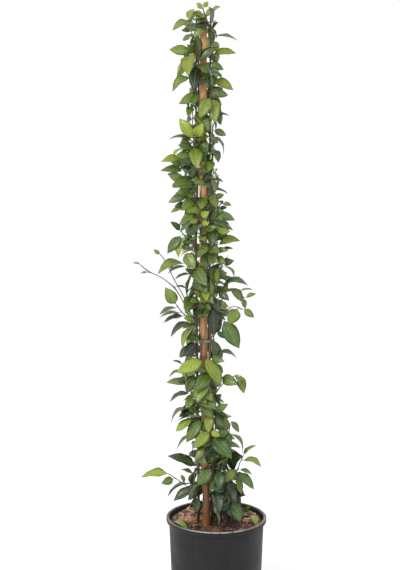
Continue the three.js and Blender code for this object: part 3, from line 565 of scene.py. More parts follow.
# Painted shade: the cane is darkened lower down by its height, over a stain at its foot, and keeps its full
# colour above.
foot_stain_and_painted_shade = tints(cane_height, [(0.24, 198, 186, 178), (0.5, 244, 238, 230), (0.66, 255, 255, 255)])
stained_and_painted_shade = blend(1.0, fibred, foot_stain_and_painted_shade, "MULTIPLY")
smudged = blend(spread(cane_smudges, 0, 0.4, 0.5, 0.72), stained_and_painted_shade, srgb(112, 74, 46))
joint_mark = spread(stored(bamboo, "joint"), 0, 0.6, 0.35, 0.95)
jointed = blend(joint_mark, smudged, srgb(92, 52, 32))
wire(
    bamboo,
    Base_Color=jointed,
    Roughness=spread(cane_blotches, 0.34, 0.52),
    Normal=dents(cane_fibres, 0.0002),
)
cane.data.materials.append(bamboo)
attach(cane, "root")
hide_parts("bamboo_cane")

# Plastic ties
# Four bands of soft teal tape, 5 mm wide and 1 mm thick, pulled tight round the cane and the stems about
# 220 mm apart, each with a loose end at the right. They turn paler and browner towards the left, and the top
# one has weathered to a cloudy grey.
TIES = ("tie_1", "tie_2", "tie_3", "tie_4")
TIE_END = (0.014, 0.001, 0.0046)
TIE_END_TURN = -24


def solid_copy(node, name):
    """A copy of a CAD node with its loose triangles merged."""
    piece = bpy.data.objects.new(name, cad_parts[node].data.copy())
    bpy.context.collection.objects.link(piece)
    piece.data.materials.clear()
    editing(piece)
    bpy.ops.mesh.customdata_custom_splitnormals_clear()
    bpy.ops.mesh.remove_doubles(threshold=1e-5)
    done_editing()
    return piece


teal_tape = new_finish("teal plastic tape", 0.35, Specular_IOR_Level=0.5)
tie_place = object_place(teal_tape)
tape_tone = tints(
    tie_place["Z"],
    [(0.4, 24, 78, 72), (0.5, 38, 124, 104), (0.8, 40, 128, 104), (0.92, 132, 148, 142)],
)
tape_wear = grain(teal_tape, 160, (1, 1, 3), 6, 0.7)
wear_share = spread(tape_wear, 0.0, 0.6, 0.5, 0.7)
worn_tape = blend(wear_share, tape_tone, srgb(150, 176, 164))
paler_to_left = spread(tie_place["X"], 0.8, 0.0, -0.028, -0.01)
wire(
    teal_tape,
    Base_Color=blend(paler_to_left, worn_tape, srgb(138, 126, 98)),
    Roughness=spread(tape_wear, 0.28, 0.5),
    Normal=dents(tape_wear, 0.0005),
)
tie_pieces = []
for node in TIES:
    band = solid_copy(node, node + "_band")
    lowest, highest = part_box(node)
    middle = (lowest + highest) / 2
    bpy.ops.mesh.primitive_cube_add(size=1, location=(highest.x - 0.003, lowest.y + 0.006, middle.z))
    end = bpy.context.object
    editing(end)
    bpy.ops.transform.resize(value=TIE_END, center_override=end.location)
    bpy.ops.mesh.subdivide(number_cuts=2)
    bpy.ops.transform.rotate(
        value=math.radians(TIE_END_TURN), orient_axis="Z", center_override=end.location
    )
    bpy.ops.transform.vertex_random(offset=0.0004, seed=5)
    finished(end)
    band = joined([band, end], node + "_band")
    apply_modifier(band, "BEVEL", width=0.0003, segments=2, limit_method="ANGLE")
    bpy.ops.object.shade_smooth_by_angle(angle=math.radians(50))
    band.data.materials.append(teal_tape)
    tie_pieces.append(band)
    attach(band, "root")
    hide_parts(node)

# Climbing stems
# Four woody stems, 6 mm thick at the soil and 3.4 mm at the top, that wind up round the cane. They are
# reddish brown and rough at the foot, mauve-brown higher up and green-brown near the tips.
STEMS = ("vine_left", "vine_right", "vine_back", "vine_rear_left")

stem_bark = new_finish("stem bark", 0.7)
stem_ridges = grain(stem_bark, 520, (1, 1, 0.12), 6, 0.65)
stem_patches = grain(stem_bark, 34, (1, 1, 0.6), 3)
bark_by_height = tints(
    object_place(stem_bark)["Z"],
    [(0.18, 74, 46, 38), (0.34, 110, 70, 60), (0.55, 128, 92, 82), (0.8, 118, 98, 76), (1.0, 104, 96, 62)],
)
green_share = spread(stem_patches, 0, 0.7, 0.45, 0.65)
patched = blend(green_share, bark_by_height, srgb(92, 88, 52))
wire(
    stem_bark,
    Base_Color=shaded(0.85, patched, stem_ridges, (110, 100, 96), 0.3, 0.7),
    Normal=dents(stem_ridges, 0.0006),
)
stem_lines = {}
stem_pieces = []
for node in STEMS:
    stem = solid_copy(node, node + "_stem")
    rings = {}
    for vertex in stem.data.vertices:
        rings.setdefault(round(vertex.co.z, 4), []).append(vertex.co.copy())
    stem_lines[node] = [
        sum(ring, Vector()) / len(ring) for height, ring in sorted(rings.items()) if len(ring) >= 6
    ]
    editing(stem)
    bpy.ops.mesh.tris_convert_to_quads()
    bpy.ops.transform.shrink_fatten(value=0.0003)
    done_editing()
    apply_modifier(stem, "SUBSURF", levels=2, render_levels=2)
    bpy.ops.object.shade_smooth()
    stem.data.materials.append(stem_bark)
    stem_pieces.append(stem)
    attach(stem, "root")
    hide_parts(node)

# Leaf
# One leaf, modelled flat with its stalk end at 0 and its tip at 1, and half its width as 1: pointed oval,
# widest at a third of its length, with a sunk midrib on top and a raised one underneath.
LEAF_STATIONS = [
    (-0.02, 0.035),
    (0.05, 0.30),
    (0.15, 0.72),
    (0.30, 0.98),
    (0.46, 0.985),
    (0.62, 0.86),
    (0.78, 0.58),
    (0.91, 0.24),
    (1.0, 0.012),
]
LEAF_LANES = 4
STATION_GAP = 2 / (len(LEAF_STATIONS) - 1)
LEAF_FOLD = 0.3
LEAF_THICKNESS = 0.0005
MIDRIB_DEPTH = 0.0005


def select_where(piece, wanted):
    """Selects the points that a test of their place picks."""
    done_editing()
    for element in (*piece.data.edges, *piece.data.polygons):
        element.select = False
    piece.data.vertices.foreach_set("select", [wanted(vertex.co) for vertex in piece.data.vertices])
    bpy.ops.object.mode_set(mode="EDIT")


bpy.ops.mesh.primitive_grid_add(x_subdivisions=len(LEAF_STATIONS) - 1, y_subdivisions=LEAF_LANES, size=2)
leaf = bpy.context.object
editing(leaf)
bpy.ops.uv.reset()
select_where(leaf, lambda co: abs(co.x) < 0.99 and abs(co.y) < 0.99)
bpy.ops.transform.translate(value=(0, 0, 1))
bpy.ops.mesh.select_all(action="SELECT")
done_editing()
for corner in leaf.data.loops:
    co = leaf.data.vertices[corner.vertex_index].co
    share, width = LEAF_STATIONS[round((co.x + 1) / STATION_GAP)]
    leaf.data.uv_layers.active.data[corner.index].uv = (share, 0.5 + 0.5 * co.y)
editing(leaf)
for number, (share, width) in enumerate(LEAF_STATIONS):
    start = -1 + STATION_GAP * number
    select_where(leaf, lambda co: abs(co.x - start) < 0.001)
    bpy.ops.transform.resize(value=(1, width, 1), center_override=(start, 0, 0))
    bpy.ops.transform.translate(value=(share - start + 10, 0, 0))
bpy.ops.mesh.select_all(action="SELECT")
bpy.ops.transform.translate(value=(-10, 0, 0))
bpy.ops.mesh.duplicate()
bpy.ops.transform.resize(value=(1, 1, -1), center_override=(0, 0, 0))
bpy.ops.mesh.select_all(action="SELECT")
bpy.ops.mesh.remove_doubles(threshold=0.001)
bpy.ops.mesh.normals_make_consistent(inside=False)
done_editing()
bpy.ops.object.shade_smooth()
leaf.name = "leaf_master"
leaf_shape = points_of(leaf)
leaf_faces = [tuple(face.vertices) for face in leaf.data.polygons]


def leaf_points(neck, tip, up, half, arch, dice):
    """The leaf laid between two places. Arch is how far its middle stands up, half is half its width."""
    along = tip - neck
    length = along.length
    along.normalize()
    side = up.cross(along).normalized()
    up = along.cross(side)
    x, y, skin = leaf_shape.T
    wave, phase = dice.uniform(0.05, 0.14), dice.random()
    twist = dice.gauss(0, 0.22)
    lift = arch * 4 * x * (1 - x) + LEAF_FOLD * half * np.abs(y) ** 1.3
    lift -= dice.uniform(0.02, 0.16) * length * np.clip(x - 0.55, 0, 1) ** 2
    lift += wave * half * np.sin(2 * math.pi * (1.7 * x + phase)) * y * np.abs(y)
    lift += twist * half * y * (x - 0.3)
    lift += skin * LEAF_THICKNESS / 2 - (np.abs(y) < 0.01) * MIDRIB_DEPTH * (1 - 0.8 * x)
    return np.array(neck) + np.outer(length * x, along) + np.outer(half * y, side) + np.outer(lift, up)


leaf_blade = new_finish("glossy leaf blade", 0.3, Specular_IOR_Level=0.58)
BLADE_AGES = [
    (0.0, 132, 146, 44),
    (0.22, 104, 120, 36),
    (0.45, 96, 113, 35),
    (0.7, 68, 90, 34),
    (0.88, 42, 61, 29),
    (1.0, 24, 37, 24),
]


def leaf_veins(finish):
    """Masks of the midrib and of the curved side veins, from the leaf's own UV map."""

    def sums(operation, *values, clamp=False):
        inputs = dict(enumerate(values))
        node = put(finish.node_tree, "Math", inputs, operation=operation, use_clamp=clamp)
        return node.outputs[0]

    uv = put(finish.node_tree, "UVMap", uv_map="UVMap").outputs[0]
    parts = put(finish.node_tree, "SeparateXYZ", {"Vector": uv}).outputs
    off_rib = sums("ABSOLUTE", sums("SUBTRACT", parts["Y"], 0.5))
    midrib = sums("SUBTRACT", 1.0, sums("MULTIPLY", off_rib, 26.0), clamp=True)
    bowed = sums("MULTIPLY", sums("POWER", off_rib, 1.4), 0.9)
    along = sums("MULTIPLY", sums("SUBTRACT", parts["X"], bowed), 7.0)
    from_vein = sums("ABSOLUTE", sums("SUBTRACT", sums("FRACT", along), 0.5))
    side_veins = sums("SUBTRACT", 1.0, sums("MULTIPLY", from_vein, 7.0), clamp=True)
    return midrib, side_veins


midrib, side_veins = leaf_veins(leaf_blade)
blotches = grain(leaf_blade, 95, detail=3)
pores = grain(leaf_blade, 1400, detail=4, coarse=0.6)
aged = tints(stored(leaf_blade, "age"), BLADE_AGES)
leaf_tint = stored(leaf_blade, "tint")
tint_tone = tints(leaf_tint, [(0.0, 160, 190, 150), (0.5, 188, 188, 188), (1.0, 222, 205, 140)])
tinted = blend(0.5, aged, tint_tone, "SOFT_LIGHT")
blotch_tone = tints(blotches, [(0.3, 160, 165, 160), (0.7, 214, 212, 196)])
blotched = blend(0.6, tinted, blotch_tone, "SOFT_LIGHT")
veined = blend(spread(side_veins, 0, 0.16, 0, 1), blotched, srgb(140, 166, 84))
ribbed = blend(spread(midrib, 0, 0.42, 0, 1), veined, srgb(142, 168, 88))
vein_height = blend(0.35, side_veins, pores)
wire(
    leaf_blade,
    Base_Color=ribbed,
    Roughness=spread(blotches, 0.2, 0.36),
    Normal=dents(vein_height, -0.0006, 0.8),
)

underside = new_finish("pale leaf underside", 0.6)
midrib, side_veins = leaf_veins(underside)
felt = grain(underside, 700, detail=5, coarse=0.65)
under_tone = tints(
    stored(underside, "age"),
    [(0.0, 166, 186, 92), (0.35, 132, 156, 84), (0.7, 104, 132, 84), (1.0, 78, 104, 76)],
)
felt_tone = tints(felt, [(0.3, 150, 152, 150), (0.7, 216, 216, 210)])
felted = blend(0.5, under_tone, felt_tone, "SOFT_LIGHT")
vein_share = spread(side_veins, 0, 0.35, 0, 1)
under_veined = blend(vein_share, felted, srgb(160, 178, 120))
rib_share = spread(midrib, 0, 0.75, 0, 1)
wire(
    underside,
    Base_Color=blend(rib_share, under_veined, srgb(176, 190, 130)),
    Normal=dents(blend(0.4, side_veins, felt), 0.0006, 0.8),
)

twig_bark = new_finish("twig bark", 0.55)
twig_patches = grain(twig_bark, 22, detail=3)
twig_ridges = grain(twig_bark, 800, (1, 1, 0.3), 5)
twig_tone = tints(twig_patches, [(0.36, 84, 62, 50), (0.5, 96, 84, 58), (0.62, 98, 108, 56)])
wire(
    twig_bark,
    Base_Color=shaded(0.8, twig_tone, twig_ridges, (130, 120, 112), 0.3, 0.7),
    Normal=dents(twig_ridges, 0.0004),
)


def leaf_looks(piece):
    """Gives a piece the finishes and the stored values of leaves and twigs, and makes all of it twig."""
    for finish in (leaf_blade, underside, twig_bark):
        piece.data.materials.append(finish)
    for mark in ("age", "tint"):
        new_attribute(piece, mark)
    for face in piece.data.polygons:
        face.material_index = 2


leaf_looks(leaf)
for face in leaf.data.polygons:
    face.material_index = 0 if face.normal.z > 0 else 1

# Leafy shoots
# Each shoot is a thin twig that starts at a stem and carries its leaves in pairs on short stalks. The CAD
# solid gives the twig and the place, size and age of each leaf; the twig is rounded, and the leaf is laid
# over its solid. The sprout at the right of the soil and the two fallen leaves are made the same way.
YOUNG_THICKNESS = 0.0007
OLD_THICKNESS = 0.0013
LEAF_MIDDLE = 0.45
RIM_POINTS = 7
THICKEST_LEAF = 0.002
LEAFLESS = {"pot", "root_ball", "bark_mulch", "bamboo_cane", *TIES, *STEMS}


def solid_leaves(solid):
    """The leaves of a CAD shoot, each as how it lies, its age and its points. The middle of a leaf's top
    is joined to the points of its rim, and the middle of its underside to those and to its stalk."""
    points = [vertex.co.copy() for vertex in solid.data.vertices]
    beside = [set() for point in points]
    for edge in solid.data.edges:
        first, second = edge.vertices
        beside[first].add(second)
        beside[second].add(first)
    leaves = []
    for top, rim in enumerate(beside):
        if len(rim) != RIM_POINTS:
            continue
        under = set.intersection(*(beside[point] for point in rim)) - {top}
        if len(under) != 1:
            continue
        under = under.pop()
        thickness = (points[top] - points[under]).length
        if len(beside[under]) != RIM_POINTS + 1 or thickness > THICKEST_LEAF:
            continue
        heel = (beside[under] - rim).pop()
        necks = [point for point in rim if heel in beside[point]]
        walk = [necks[0]]
        while len(walk) < RIM_POINTS:
            onward = [point for point in rim & beside[walk[-1]] if point not in (*walk, necks[1])]
            walk.append(onward[0] if onward else necks[1])
        neck = (points[necks[0]] + points[necks[1]]) / 2
        middle = (points[top] + points[under]) / 2
        tip = points[walk[3]]
        on_line = neck.lerp(tip, LEAF_MIDDLE)
        up = (points[top] - points[under]).normalized()
        half = (points[walk[1]] - points[walk[5]]).length / 2
        age = (thickness - YOUNG_THICKNESS) / (OLD_THICKNESS - YOUNG_THICKNESS)
        lay = (neck, tip, up, half, (middle - on_line).dot(up))
        leaves.append((lay, within(0.0, 1.0, age), {top, under, *walk[1:6]}))
    return leaves


ROOMS = 6000
room_lows = np.full((3, ROOMS), math.inf)
room_highs = np.full((3, ROOMS), -math.inf)
room_trees = []


def take(points, faces):
    """Notes the room that a shape takes up: its box, and a tree of its faces to test others against."""
    room_lows[:, len(room_trees)] = points.min(axis=0)
    room_highs[:, len(room_trees)] = points.max(axis=0)
    room_trees.append(BVHTree.FromPolygons(points.tolist(), faces))
    return len(room_trees) - 1


def take_piece(piece):
    return take(points_of(piece), [tuple(face.vertices) for face in piece.data.polygons])


def beside(lowest, highest):
    """The numbers of the shapes noted so far whose boxes meet the box between two corners."""
    count = len(room_trees)
    meet = np.ones(count, bool)
    for axis in range(3):
        meet &= (room_lows[axis, :count] < highest[axis]) & (room_highs[axis, :count] > lowest[axis])
    return np.flatnonzero(meet)


for piece in (cane, mulch, *stem_pieces, *tie_pieces):
    take_piece(piece)
shown_leaves = set()
for node in sorted(set(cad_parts) - LEAFLESS):
    dice = random.Random(node)
    shoot = solid_copy(node, node + "_shoot")
    leaves = solid_leaves(shoot)
    gone = set().union(*(points for lay, age, points in leaves))
    editing(shoot)
    bpy.ops.mesh.select_all(action="DESELECT")
    done_editing()
    for index in gone:
        shoot.data.vertices[index].select = True
    bpy.ops.object.mode_set(mode="EDIT")
    bpy.ops.mesh.delete(type="VERT")
    bpy.ops.mesh.select_non_manifold()
    bpy.ops.mesh.fill_holes(sides=0)
    bpy.ops.mesh.select_all(action="SELECT")
    bpy.ops.mesh.tris_convert_to_quads()
    done_editing()
    apply_modifier(shoot, "SUBSURF", levels=1, render_levels=1)
    leaf_looks(shoot)
    shoot.data.uv_layers.new(name="UVMap")
    take_piece(shoot)
    blades = []
    for lay, age, points in leaves:
        shape = leaf_points(*lay, dice)
        blades.append(copy_of(leaf, shape, age=age, tint=dice.random()))
        number = take(shape, leaf_faces)
        if not node.startswith("rear"):
            shown_leaves.add(number)
    joined([shoot, *blades], node + "_shoot")
    bpy.ops.object.shade_smooth()
    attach(shoot, "root")
    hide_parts(node)

# Twining shoots
# Young green-brown shoots, 2.5 mm thick at their foot, that leave a stem and wind up round the cane by a
# seventh to two fifths of a turn. Low down, thin old shoots rise from the soil and close up to the cane.
TWINING_SHOOTS = 18
TWINER_LENGTHS = (0.14, 0.24)
TWINER_WINDS = (0.9, 2.6)
TWINER_FOOT = 0.242
TWINER_SHIFT = 0.02
TWINER_RADIUS = 0.0011
TWINER_REACH = 0.0205
TWINER_STEPS = 20
TWINER_ROOM = 0.0008
SOIL_SHOOTS = 16
SOIL_SHOOT_RADIUS = 0.0014
SOIL_SHOOT_DEPTH = 0.004
SOIL_SHOOT_TOPS = (0.26, 0.44)
FIRST_PAIR = 0.2
LAST_PAIR = 1.178
SHOOT_TRIES = 60


def on_stem(line, height):
    for low, high in zip(line, line[1:]):
        if low.z <= height <= high.z:
            return low.lerp(high, (height - low.z) / (high.z - low.z))
    return line[-1]


def clear_of(point, gap):
    """Whether a place keeps the given distance from every shape noted so far."""
    near = beside(np.array(point) - gap, np.array(point) + gap)
    return all(room_trees[number].find_nearest(point, gap)[0] is None for number in near)


def twiner_line(line, start, length, wind):
    """The centre line of a shoot that leaves a stem and winds round the cane at its own reach."""
    leaves_stem = on_stem(line, start)
    offset = leaves_stem - cane_centre(start)
    angle = math.atan2(offset.y, offset.x)
    points = []
    for step in range(TWINER_STEPS + 1):
        share = step / TWINER_STEPS
        height = start + length * share
        out = 1 - (1 - min(1.0, share * 4)) ** 2
        reach = offset.length + (TWINER_REACH - offset.length) * out
        turn = angle + wind * share
        points.append(cane_centre(height) + reach * Vector((math.cos(turn), math.sin(turn), 0)))
    return points


def soil_line(foot, height, angle):
    """The centre line of an old shoot that rises from the soil and closes up to the cane."""
    points = []
    for step in range(TWINER_STEPS + 1):
        share = step / TWINER_STEPS
        level = MULCH_TOP - SOIL_SHOOT_DEPTH + (height - MULCH_TOP + SOIL_SHOOT_DEPTH) * share
        closed = share * share * (3 - 2 * share)
        turn = angle + 0.5 * share
        at_cane = cane_centre(level) + TWINER_REACH * Vector((math.cos(turn), math.sin(turn), 0))
        points.append(Vector((*foot, level)).lerp(at_cane, closed))
    return points


def grown_shoot(name, line, foot_steps, radius, finish):
    """Grows a shoot along a line and returns True, unless it would touch something above its foot."""
    if not all(clear_of(point, radius + TWINER_ROOM) for point in line[foot_steps:]):
        return False
    stations = [(radius * (1.15 - 0.4 * step / TWINER_STEPS), point) for step, point in enumerate(line)]
    shoot = grow_ring(6, stations)
    done_editing()
    bpy.ops.object.transform_apply(location=True)
    bpy.ops.object.shade_smooth()
    shoot.name = name
    shoot.data.materials.append(finish)
    take_piece(shoot)
    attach(shoot, "root")
    shoot_lines[name] = line
    return True


dice = random.Random(12)
shoot_lines = {}
spare = (LAST_PAIR - TWINER_FOOT + TWINER_SHIFT / 2 - TWINER_LENGTHS[1]) / (TWINING_SHOOTS - 1)
for number in range(TWINING_SHOOTS):
    for attempt in range(SHOOT_TRIES):
        start = TWINER_FOOT + spare * number + dice.uniform(-TWINER_SHIFT, TWINER_SHIFT)
        wind = dice.choice((-1, 1)) * dice.uniform(*TWINER_WINDS)
        line = twiner_line(stem_lines[dice.choice(STEMS)], start, dice.uniform(*TWINER_LENGTHS), wind)
        if grown_shoot(f"twining_shoot_{number + 1}", line, 4, TWINER_RADIUS, twig_bark):
            break
for number in range(SOIL_SHOOTS):
    for attempt in range(SHOOT_TRIES):
        foot = (dice.uniform(-0.014, 0.050), dice.uniform(-0.034, 0.030))
        line = soil_line(foot, dice.uniform(*SOIL_SHOOT_TOPS), dice.uniform(-1.0, 2.2))
        if grown_shoot(f"soil_shoot_{number + 1}", line, 2, SOIL_SHOOT_RADIUS, stem_bark):
            break

# Leaves over the cane and the stems
# Leaves of the same kind on stalks 6 to 10 mm long, with their faces outwards: where the cane shows outside
# its bare lengths, then where the column lies open in front, at the sides and at the back. A leaf grows only
# where it touches nothing, lies almost wholly within the plant's outline and leaves the bare cane free.
STALK_RADIUS = 0.0007
STALK_LENGTHS = (0.006, 0.010)
STALK_SAG = 0.12
HALF_WIDTHS = (0.24, 0.33)
LEAF_ARCH = 0.06
BARE_CANE = [(0.170, 0.262), (0.276, 0.306), (0.503, 0.590), (0.825, 0.841), (1.018, 1.042), (1.103, 1.156)]
BARE_ACROSS = (-0.034, -0.013)
BARE_FRONT = -0.02
OUTLINE = [
    (0.185, -0.046, 0.052),
    (0.221, -0.063, 0.057),
    (0.271, -0.055, 0.067),
    (0.331, -0.055, 0.049),
    (0.397, -0.077, 0.025),
    (0.431, -0.063, 0.009),
    (0.521, -0.077, 0.013),
    (0.555, -0.067, -0.003),
    (0.581, -0.081, 0.045),
    (0.621, -0.063, 0.049),
    (0.681, -0.063, 0.029),
    (0.741, -0.097, 0.029),
    (0.791, -0.079, 0.017),
    (0.841, -0.099, 0.005),
    (0.901, -0.105, 0.002),
    (0.941, -0.071, -0.003),
    (1.007, -0.059, 0.013),
    (1.161, -0.067, 0.009),
]
LEAST_INSIDE = 0.93
DEPTH_REACH = 0.062
MOST_HIDDEN = 0.2
YOUNG_SHARE = 0.1
YOUNG_FROM = 0.34
LOW_LEAVES = 0.38
LOW_BAND = 0.12
PERCH_GAP = 0.004
COVER_REACH = (0.014, 0.044)
COVER_LENGTHS = (0.026, 0.056)
CANE_COVER = (0.264, 1.176, 0.005)
CANE_TRIES = 60
CANE_STANDOFFS = (0.006, 0.024)
COVER_TRIES = 10
COVER_STANDOFF = 0.016
COVER_DEPTHS = (0, 0.02)
FRONT_TARGETS = 1300
FRONT_HEIGHTS = (0.25, 1.17)
SIDE_TARGETS = 1200
SIDE_HEIGHTS = (0.2, 1.17)
SIDES = [(1, 0, 0), (-1, 0, 0), (0, 1, 0)]
SIDE_VIEW = 1.6
SIGHT = 0.22
TO_FRONT = Vector((0, -1, 0))
UPWARDS = Vector((0, 0, 1))

bpy.ops.mesh.primitive_cylinder_add(vertices=5, radius=1, depth=1, location=(0, 0, 0.5))
stalk = bpy.context.object
editing(stalk)
bpy.ops.mesh.subdivide(number_cuts=1)
finished(stalk, 60)
leaf_looks(stalk)
stalk_shape = points_of(stalk)


def grown_stalk(root, neck, age):
    along = neck - root
    side = along.orthogonal().normalized()
    other = along.cross(side).normalized()
    x, y, z = stalk_shape.T
    thin = STALK_RADIUS * (1.25 - 0.5 * z)
    points = np.array(root) + np.outer(z, along) + np.outer(x * thin, side) + np.outer(y * thin, other)
    points[:, 2] -= STALK_SAG * along.length * 4 * z * (1 - z)
    return copy_of(stalk, points, age=age)


def hides_cane(points):
    seen = points[points[:, 1] < BARE_FRONT]
    inside = (seen[:, 0] > BARE_ACROSS[0]) & (seen[:, 0] < BARE_ACROSS[1])
    heights = seen[inside, 2]
    return any(((heights > low) & (heights < high)).any() for low, high in BARE_CANE)


def edges_at(height):
    """The left and the right edge of the plant's outline."""
    heights, lefts, rights = np.array(OUTLINE).T
    return np.interp(height, heights, lefts), np.interp(height, heights, rights)


def in_outline(points):
    x, y, z = points.T
    left, right = edges_at(z)
    inside = (x > left) & (x < right)
    return inside.mean() > LEAST_INSIDE and np.abs(y - CANE_FOOT.y).max() < DEPTH_REACH


def hides_shoots(points):
    """Whether a leaf covers more than a little of the shoots' leaves behind it, as the camera sees them."""
    lowest, highest = points.min(axis=0), points.max(axis=0)
    highest[1] = math.inf
    behind = [room_trees[number] for number in beside(lowest, highest) if number in shown_leaves]
    hidden = 0
    for point in points[::4]:
        sight = Vector(point) - camera.location
        hidden += any(tree.ray_cast(Vector(point), sight)[0] is not None for tree in behind)
    return hidden > MOST_HIDDEN * len(points[::4])


def takes_room(points):
    """Notes a leaf's room and returns True, unless it touches a shape that is there already."""
    tree = BVHTree.FromPolygons(points.tolist(), leaf_faces)
    if any(tree.overlap(room_trees[number]) for number in beside(points.min(axis=0), points.max(axis=0))):
        return False
    take(points, leaf_faces)
    return True


def leaf_with_stalk(base, neck, along, length, up, age, dice):
    """A leaf and its stalk, or nothing where it has no room or would cover what the photo shows."""
    half = length * dice.uniform(*HALF_WIDTHS)
    shape = leaf_points(neck, neck + along * length, up, half, LEAF_ARCH * length, dice)
    if not in_outline(shape) or hides_cane(shape) or hides_shoots(shape) or not takes_room(shape):
        return []
    return [copy_of(leaf, shape, age=age, tint=dice.random()), grown_stalk(base, neck, age)]


def leaf_age(base, dice):
    """Young leaves are few, and none grow low down, where the leaves are made older and darker as painted
    shade.
    """
    if base.z > YOUNG_FROM and dice.random() < YOUNG_SHARE:
        return dice.uniform(0.1, 0.3)
    # Painted shade: low down the leaves are pushed towards the dark end of the age colours.
    low_painted_shade = within(0, 1, (LOW_LEAVES - base.z) / LOW_BAND)
    return min(1.0, dice.triangular(0.28, 1.0, 0.74) + 0.34 * low_painted_shade)


def covering_leaf(target, dice, facing=TO_FRONT):
    """A leaf that faces one way with its middle on a place, hung from a stem near it."""
    reach = np.linalg.norm(perches - np.array(target), axis=1)
    near = np.flatnonzero((reach > COVER_REACH[0]) & (reach < COVER_REACH[1]))
    if not len(near):
        return []
    base = Vector(perches[dice.choice(list(near))])
    along = (target - base).normalized()
    neck = base + along * dice.uniform(*STALK_LENGTHS)
    reach = (target - neck).length
    length = within(*COVER_LENGTHS, reach / dice.uniform(0.35, 0.6))
    if along.z > 0.6 or not 0.2 < reach / length < 0.75:
        return []
    if not clear_of(neck, STALK_RADIUS) or not clear_of(base.lerp(neck, 0.7), STALK_RADIUS):
        return []
    up = facing + facing.cross(UPWARDS) * dice.gauss(0, 0.3) + UPWARDS * 0.4
    return leaf_with_stalk(base, neck, along, length, up, leaf_age(base, dice), dice)


def shown(point, eye=camera.location):
    """Whether a place is seen from the camera, or from another eye, past every shape noted so far."""
    sight = (eye - point).normalized()
    far = point + SIGHT * sight
    near = beside(np.minimum(point, far) - 0.001, np.maximum(point, far) + 0.001)
    return all(room_trees[number].ray_cast(point, sight, SIGHT)[0] is None for number in near)


def first_leaf(place, dice, direction, depths, facing=TO_FRONT):
    """The first of a few leaves tried over a place that finds room."""
    for attempt in range(COVER_TRIES):
        grown = covering_leaf(place + direction * dice.uniform(*depths), dice, facing)
        if grown:
            return grown
    return []


def finished_foliage(pieces, name):
    foliage = joined(pieces, name)
    bpy.ops.object.shade_smooth()
    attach(foliage, "root")


perches = np.array(
    [
        on_stem(line, height)
        for line in (*stem_lines.values(), *shoot_lines.values())
        for height in np.arange(max(FIRST_PAIR, line[0].z + 0.02), min(LAST_PAIR, line[-1].z), PERCH_GAP)
    ]
)
dice = random.Random(77)
pieces = []
for height in np.arange(*CANE_COVER):
    if any(low - 0.004 < height < high + 0.004 for low, high in BARE_CANE):
        continue
    for across in (-0.004, 0, 0.004):
        front = cane_centre(height) + Vector((across, -cane_radius(height) - 0.001, 0))
        for attempt in range(CANE_TRIES):
            if not shown(front):
                break
            pieces += covering_leaf(front + TO_FRONT * dice.uniform(*CANE_STANDOFFS), dice)
finished_foliage(pieces, "cane_leaves")

pieces = []
for number in range(FRONT_TARGETS):
    height = dice.uniform(*FRONT_HEIGHTS)
    place = cane_centre(height) + Vector((dice.gauss(0.002, 0.018), -COVER_STANDOFF, 0))
    if shown(place):
        pieces += first_leaf(place, dice, TO_FRONT, COVER_DEPTHS)
finished_foliage(pieces, "front_leaves")

pieces = []
for number in range(SIDE_TARGETS):
    facing = Vector(dice.choice(SIDES))
    height = dice.uniform(*SIDE_HEIGHTS)
    across = facing.cross(UPWARDS) * dice.gauss(0, 0.014)
    place = cane_centre(height) + across + facing * COVER_STANDOFF
    if shown(place, cane_centre(0.7) + facing * SIDE_VIEW):
        pieces += first_leaf(place, dice, facing, COVER_DEPTHS, facing)
finished_foliage(pieces, "side_leaves")

# Leaves in pairs on the stems
# The stems and the twining shoots have leaves of their own, in opposite pairs about 19 mm apart, a quarter
# turn from one pair to the next. They hang outwards and mostly down, wherever the leaves before left room.
PAIR_SPACING = 0.019
LEAF_TRIES = 16
HANGING_LENGTHS = (0.026, 0.058, 0.044)
FIRST_FOLIAGE_SEED = 41


def hanging_leaf(base, turn, loose, dice):
    """A leaf that hangs outwards from a place on a stem."""
    facing = turn + dice.gauss(0, loose)
    away = Vector((math.cos(facing), math.sin(facing), 0))
    lowest_rise = -80 if away.y < -0.2 else -70
    rise = math.radians(dice.triangular(lowest_rise, 30, -35 + 25 * away.y))
    along = away * math.cos(rise) + Vector((0, 0, math.sin(rise)))
    neck = base + (away + along).normalized() * dice.uniform(*STALK_LENGTHS)
    length = dice.triangular(*HANGING_LENGTHS)
    up = away * 0.7 + Vector((0, -0.4, 0.55))
    return leaf_with_stalk(base + away * 0.0005, neck, along, length, up, leaf_age(base, dice), dice)


for seed, (name, line) in enumerate({**stem_lines, **shoot_lines}.items(), FIRST_FOLIAGE_SEED):
    dice = random.Random(seed)
    height = max(FIRST_PAIR, line[0].z + 0.02) + dice.uniform(0, PAIR_SPACING)
    quarter = dice.uniform(0, 2 * math.pi)
    pieces = []
    while height < min(LAST_PAIR, line[-1].z):
        quarter += math.radians(90 + dice.gauss(0, 14))
        height += PAIR_SPACING * dice.uniform(0.8, 1.2)
        for turn in (quarter, quarter + math.pi):
            for attempt in range(LEAF_TRIES):
                grown = hanging_leaf(on_stem(line, height), turn, 0.25 + 0.1 * attempt, dice)
                if grown:
                    pieces += grown
                    break
    if pieces:
        finished_foliage(pieces, name + "_leaves")

# Leaves in the gaps of the column
# A few more leaves on the same stems, with their faces to the front, where the column would still let the
# light through from behind.
FILL_TARGETS = 2000
FILL_HEIGHTS = (0.22, 1.17)
FILL_DEPTHS = (-0.03, 0.04)
FILL_MARGIN = 0.008
BEHIND_COLUMN = 0.07

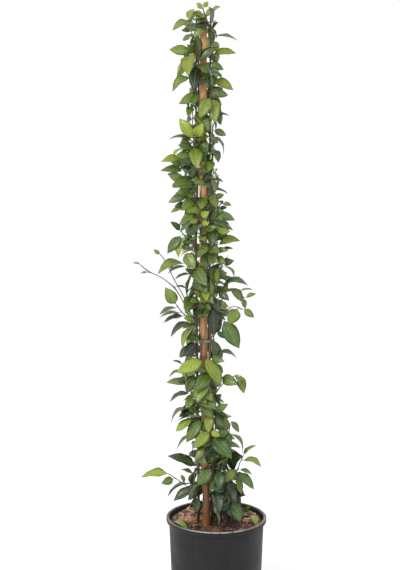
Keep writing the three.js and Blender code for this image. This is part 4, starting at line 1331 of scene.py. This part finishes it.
pieces = []
for number in range(FILL_TARGETS):
    height = dice.uniform(*FILL_HEIGHTS)
    left, right = edges_at(height)
    across = dice.uniform(left + FILL_MARGIN, right - FILL_MARGIN)
    place = Vector((across, cane_centre(height).y, height))
    behind = place + (place - camera.location).normalized() * BEHIND_COLUMN
    if shown(behind):
        pieces += first_leaf(place, dice, Vector((0, 1, 0)), FILL_DEPTHS)
if pieces:
    finished_foliage(pieces, "column_leaves")
bpy.data.objects.remove(stalk)
bpy.data.objects.remove(leaf)

# Floor and light
# The plant stands on a plain white floor under soft studio light: a bright room all round, a large soft box
# at the front on the left, and a tall strip at each side, which draws the bright bands on the pot.
FLOOR_RADIUS = 30
FLOOR_LEVEL = -0.0002
ROOM_LIGHT = 1.03
LIGHT_TARGET = Vector((0, 0, 0.65))

bpy.ops.mesh.primitive_circle_add(
    vertices=64, radius=FLOOR_RADIUS, fill_type="NGON", location=(0, 0, FLOOR_LEVEL)
)
floor = bpy.context.object
floor.name = "studio_floor"
floor_paper = new_finish("white floor paper", 0.9, Base_Color=(0.98, 0.98, 0.98, 1))
floor.data.materials.append(floor_paper)

world = bpy.data.worlds.new("studio room")
world.use_nodes = True
world.node_tree.nodes["Background"].inputs["Color"].default_value = (1, 1, 1, 1)
world.node_tree.nodes["Background"].inputs["Strength"].default_value = ROOM_LIGHT
bpy.context.scene.world = world
bpy.context.scene.view_settings.view_transform = "Standard"

SOFT_BOXES = [
    ("key", (-1.3, -1.8, 2.1), (0.8, 0.8), 40),
    ("left strip", (-1.5, 0.2, 0.8), (0.3, 1.6), 2.5),
    ("right strip", (1.5, 0.1, 0.8), (0.3, 1.6), 2.5),
]
for name, place, size, power in SOFT_BOXES:
    lamp = bpy.data.lights.new(name, "AREA")
    lamp.shape = "RECTANGLE"
    lamp.size, lamp.size_y = size
    lamp.energy = power
    box = bpy.data.objects.new(name, lamp)
    bpy.context.collection.objects.link(box)
    box.location = place
    box.rotation_euler = (LIGHT_TARGET - Vector(place)).to_track_quat("-Z", "Y").to_euler()
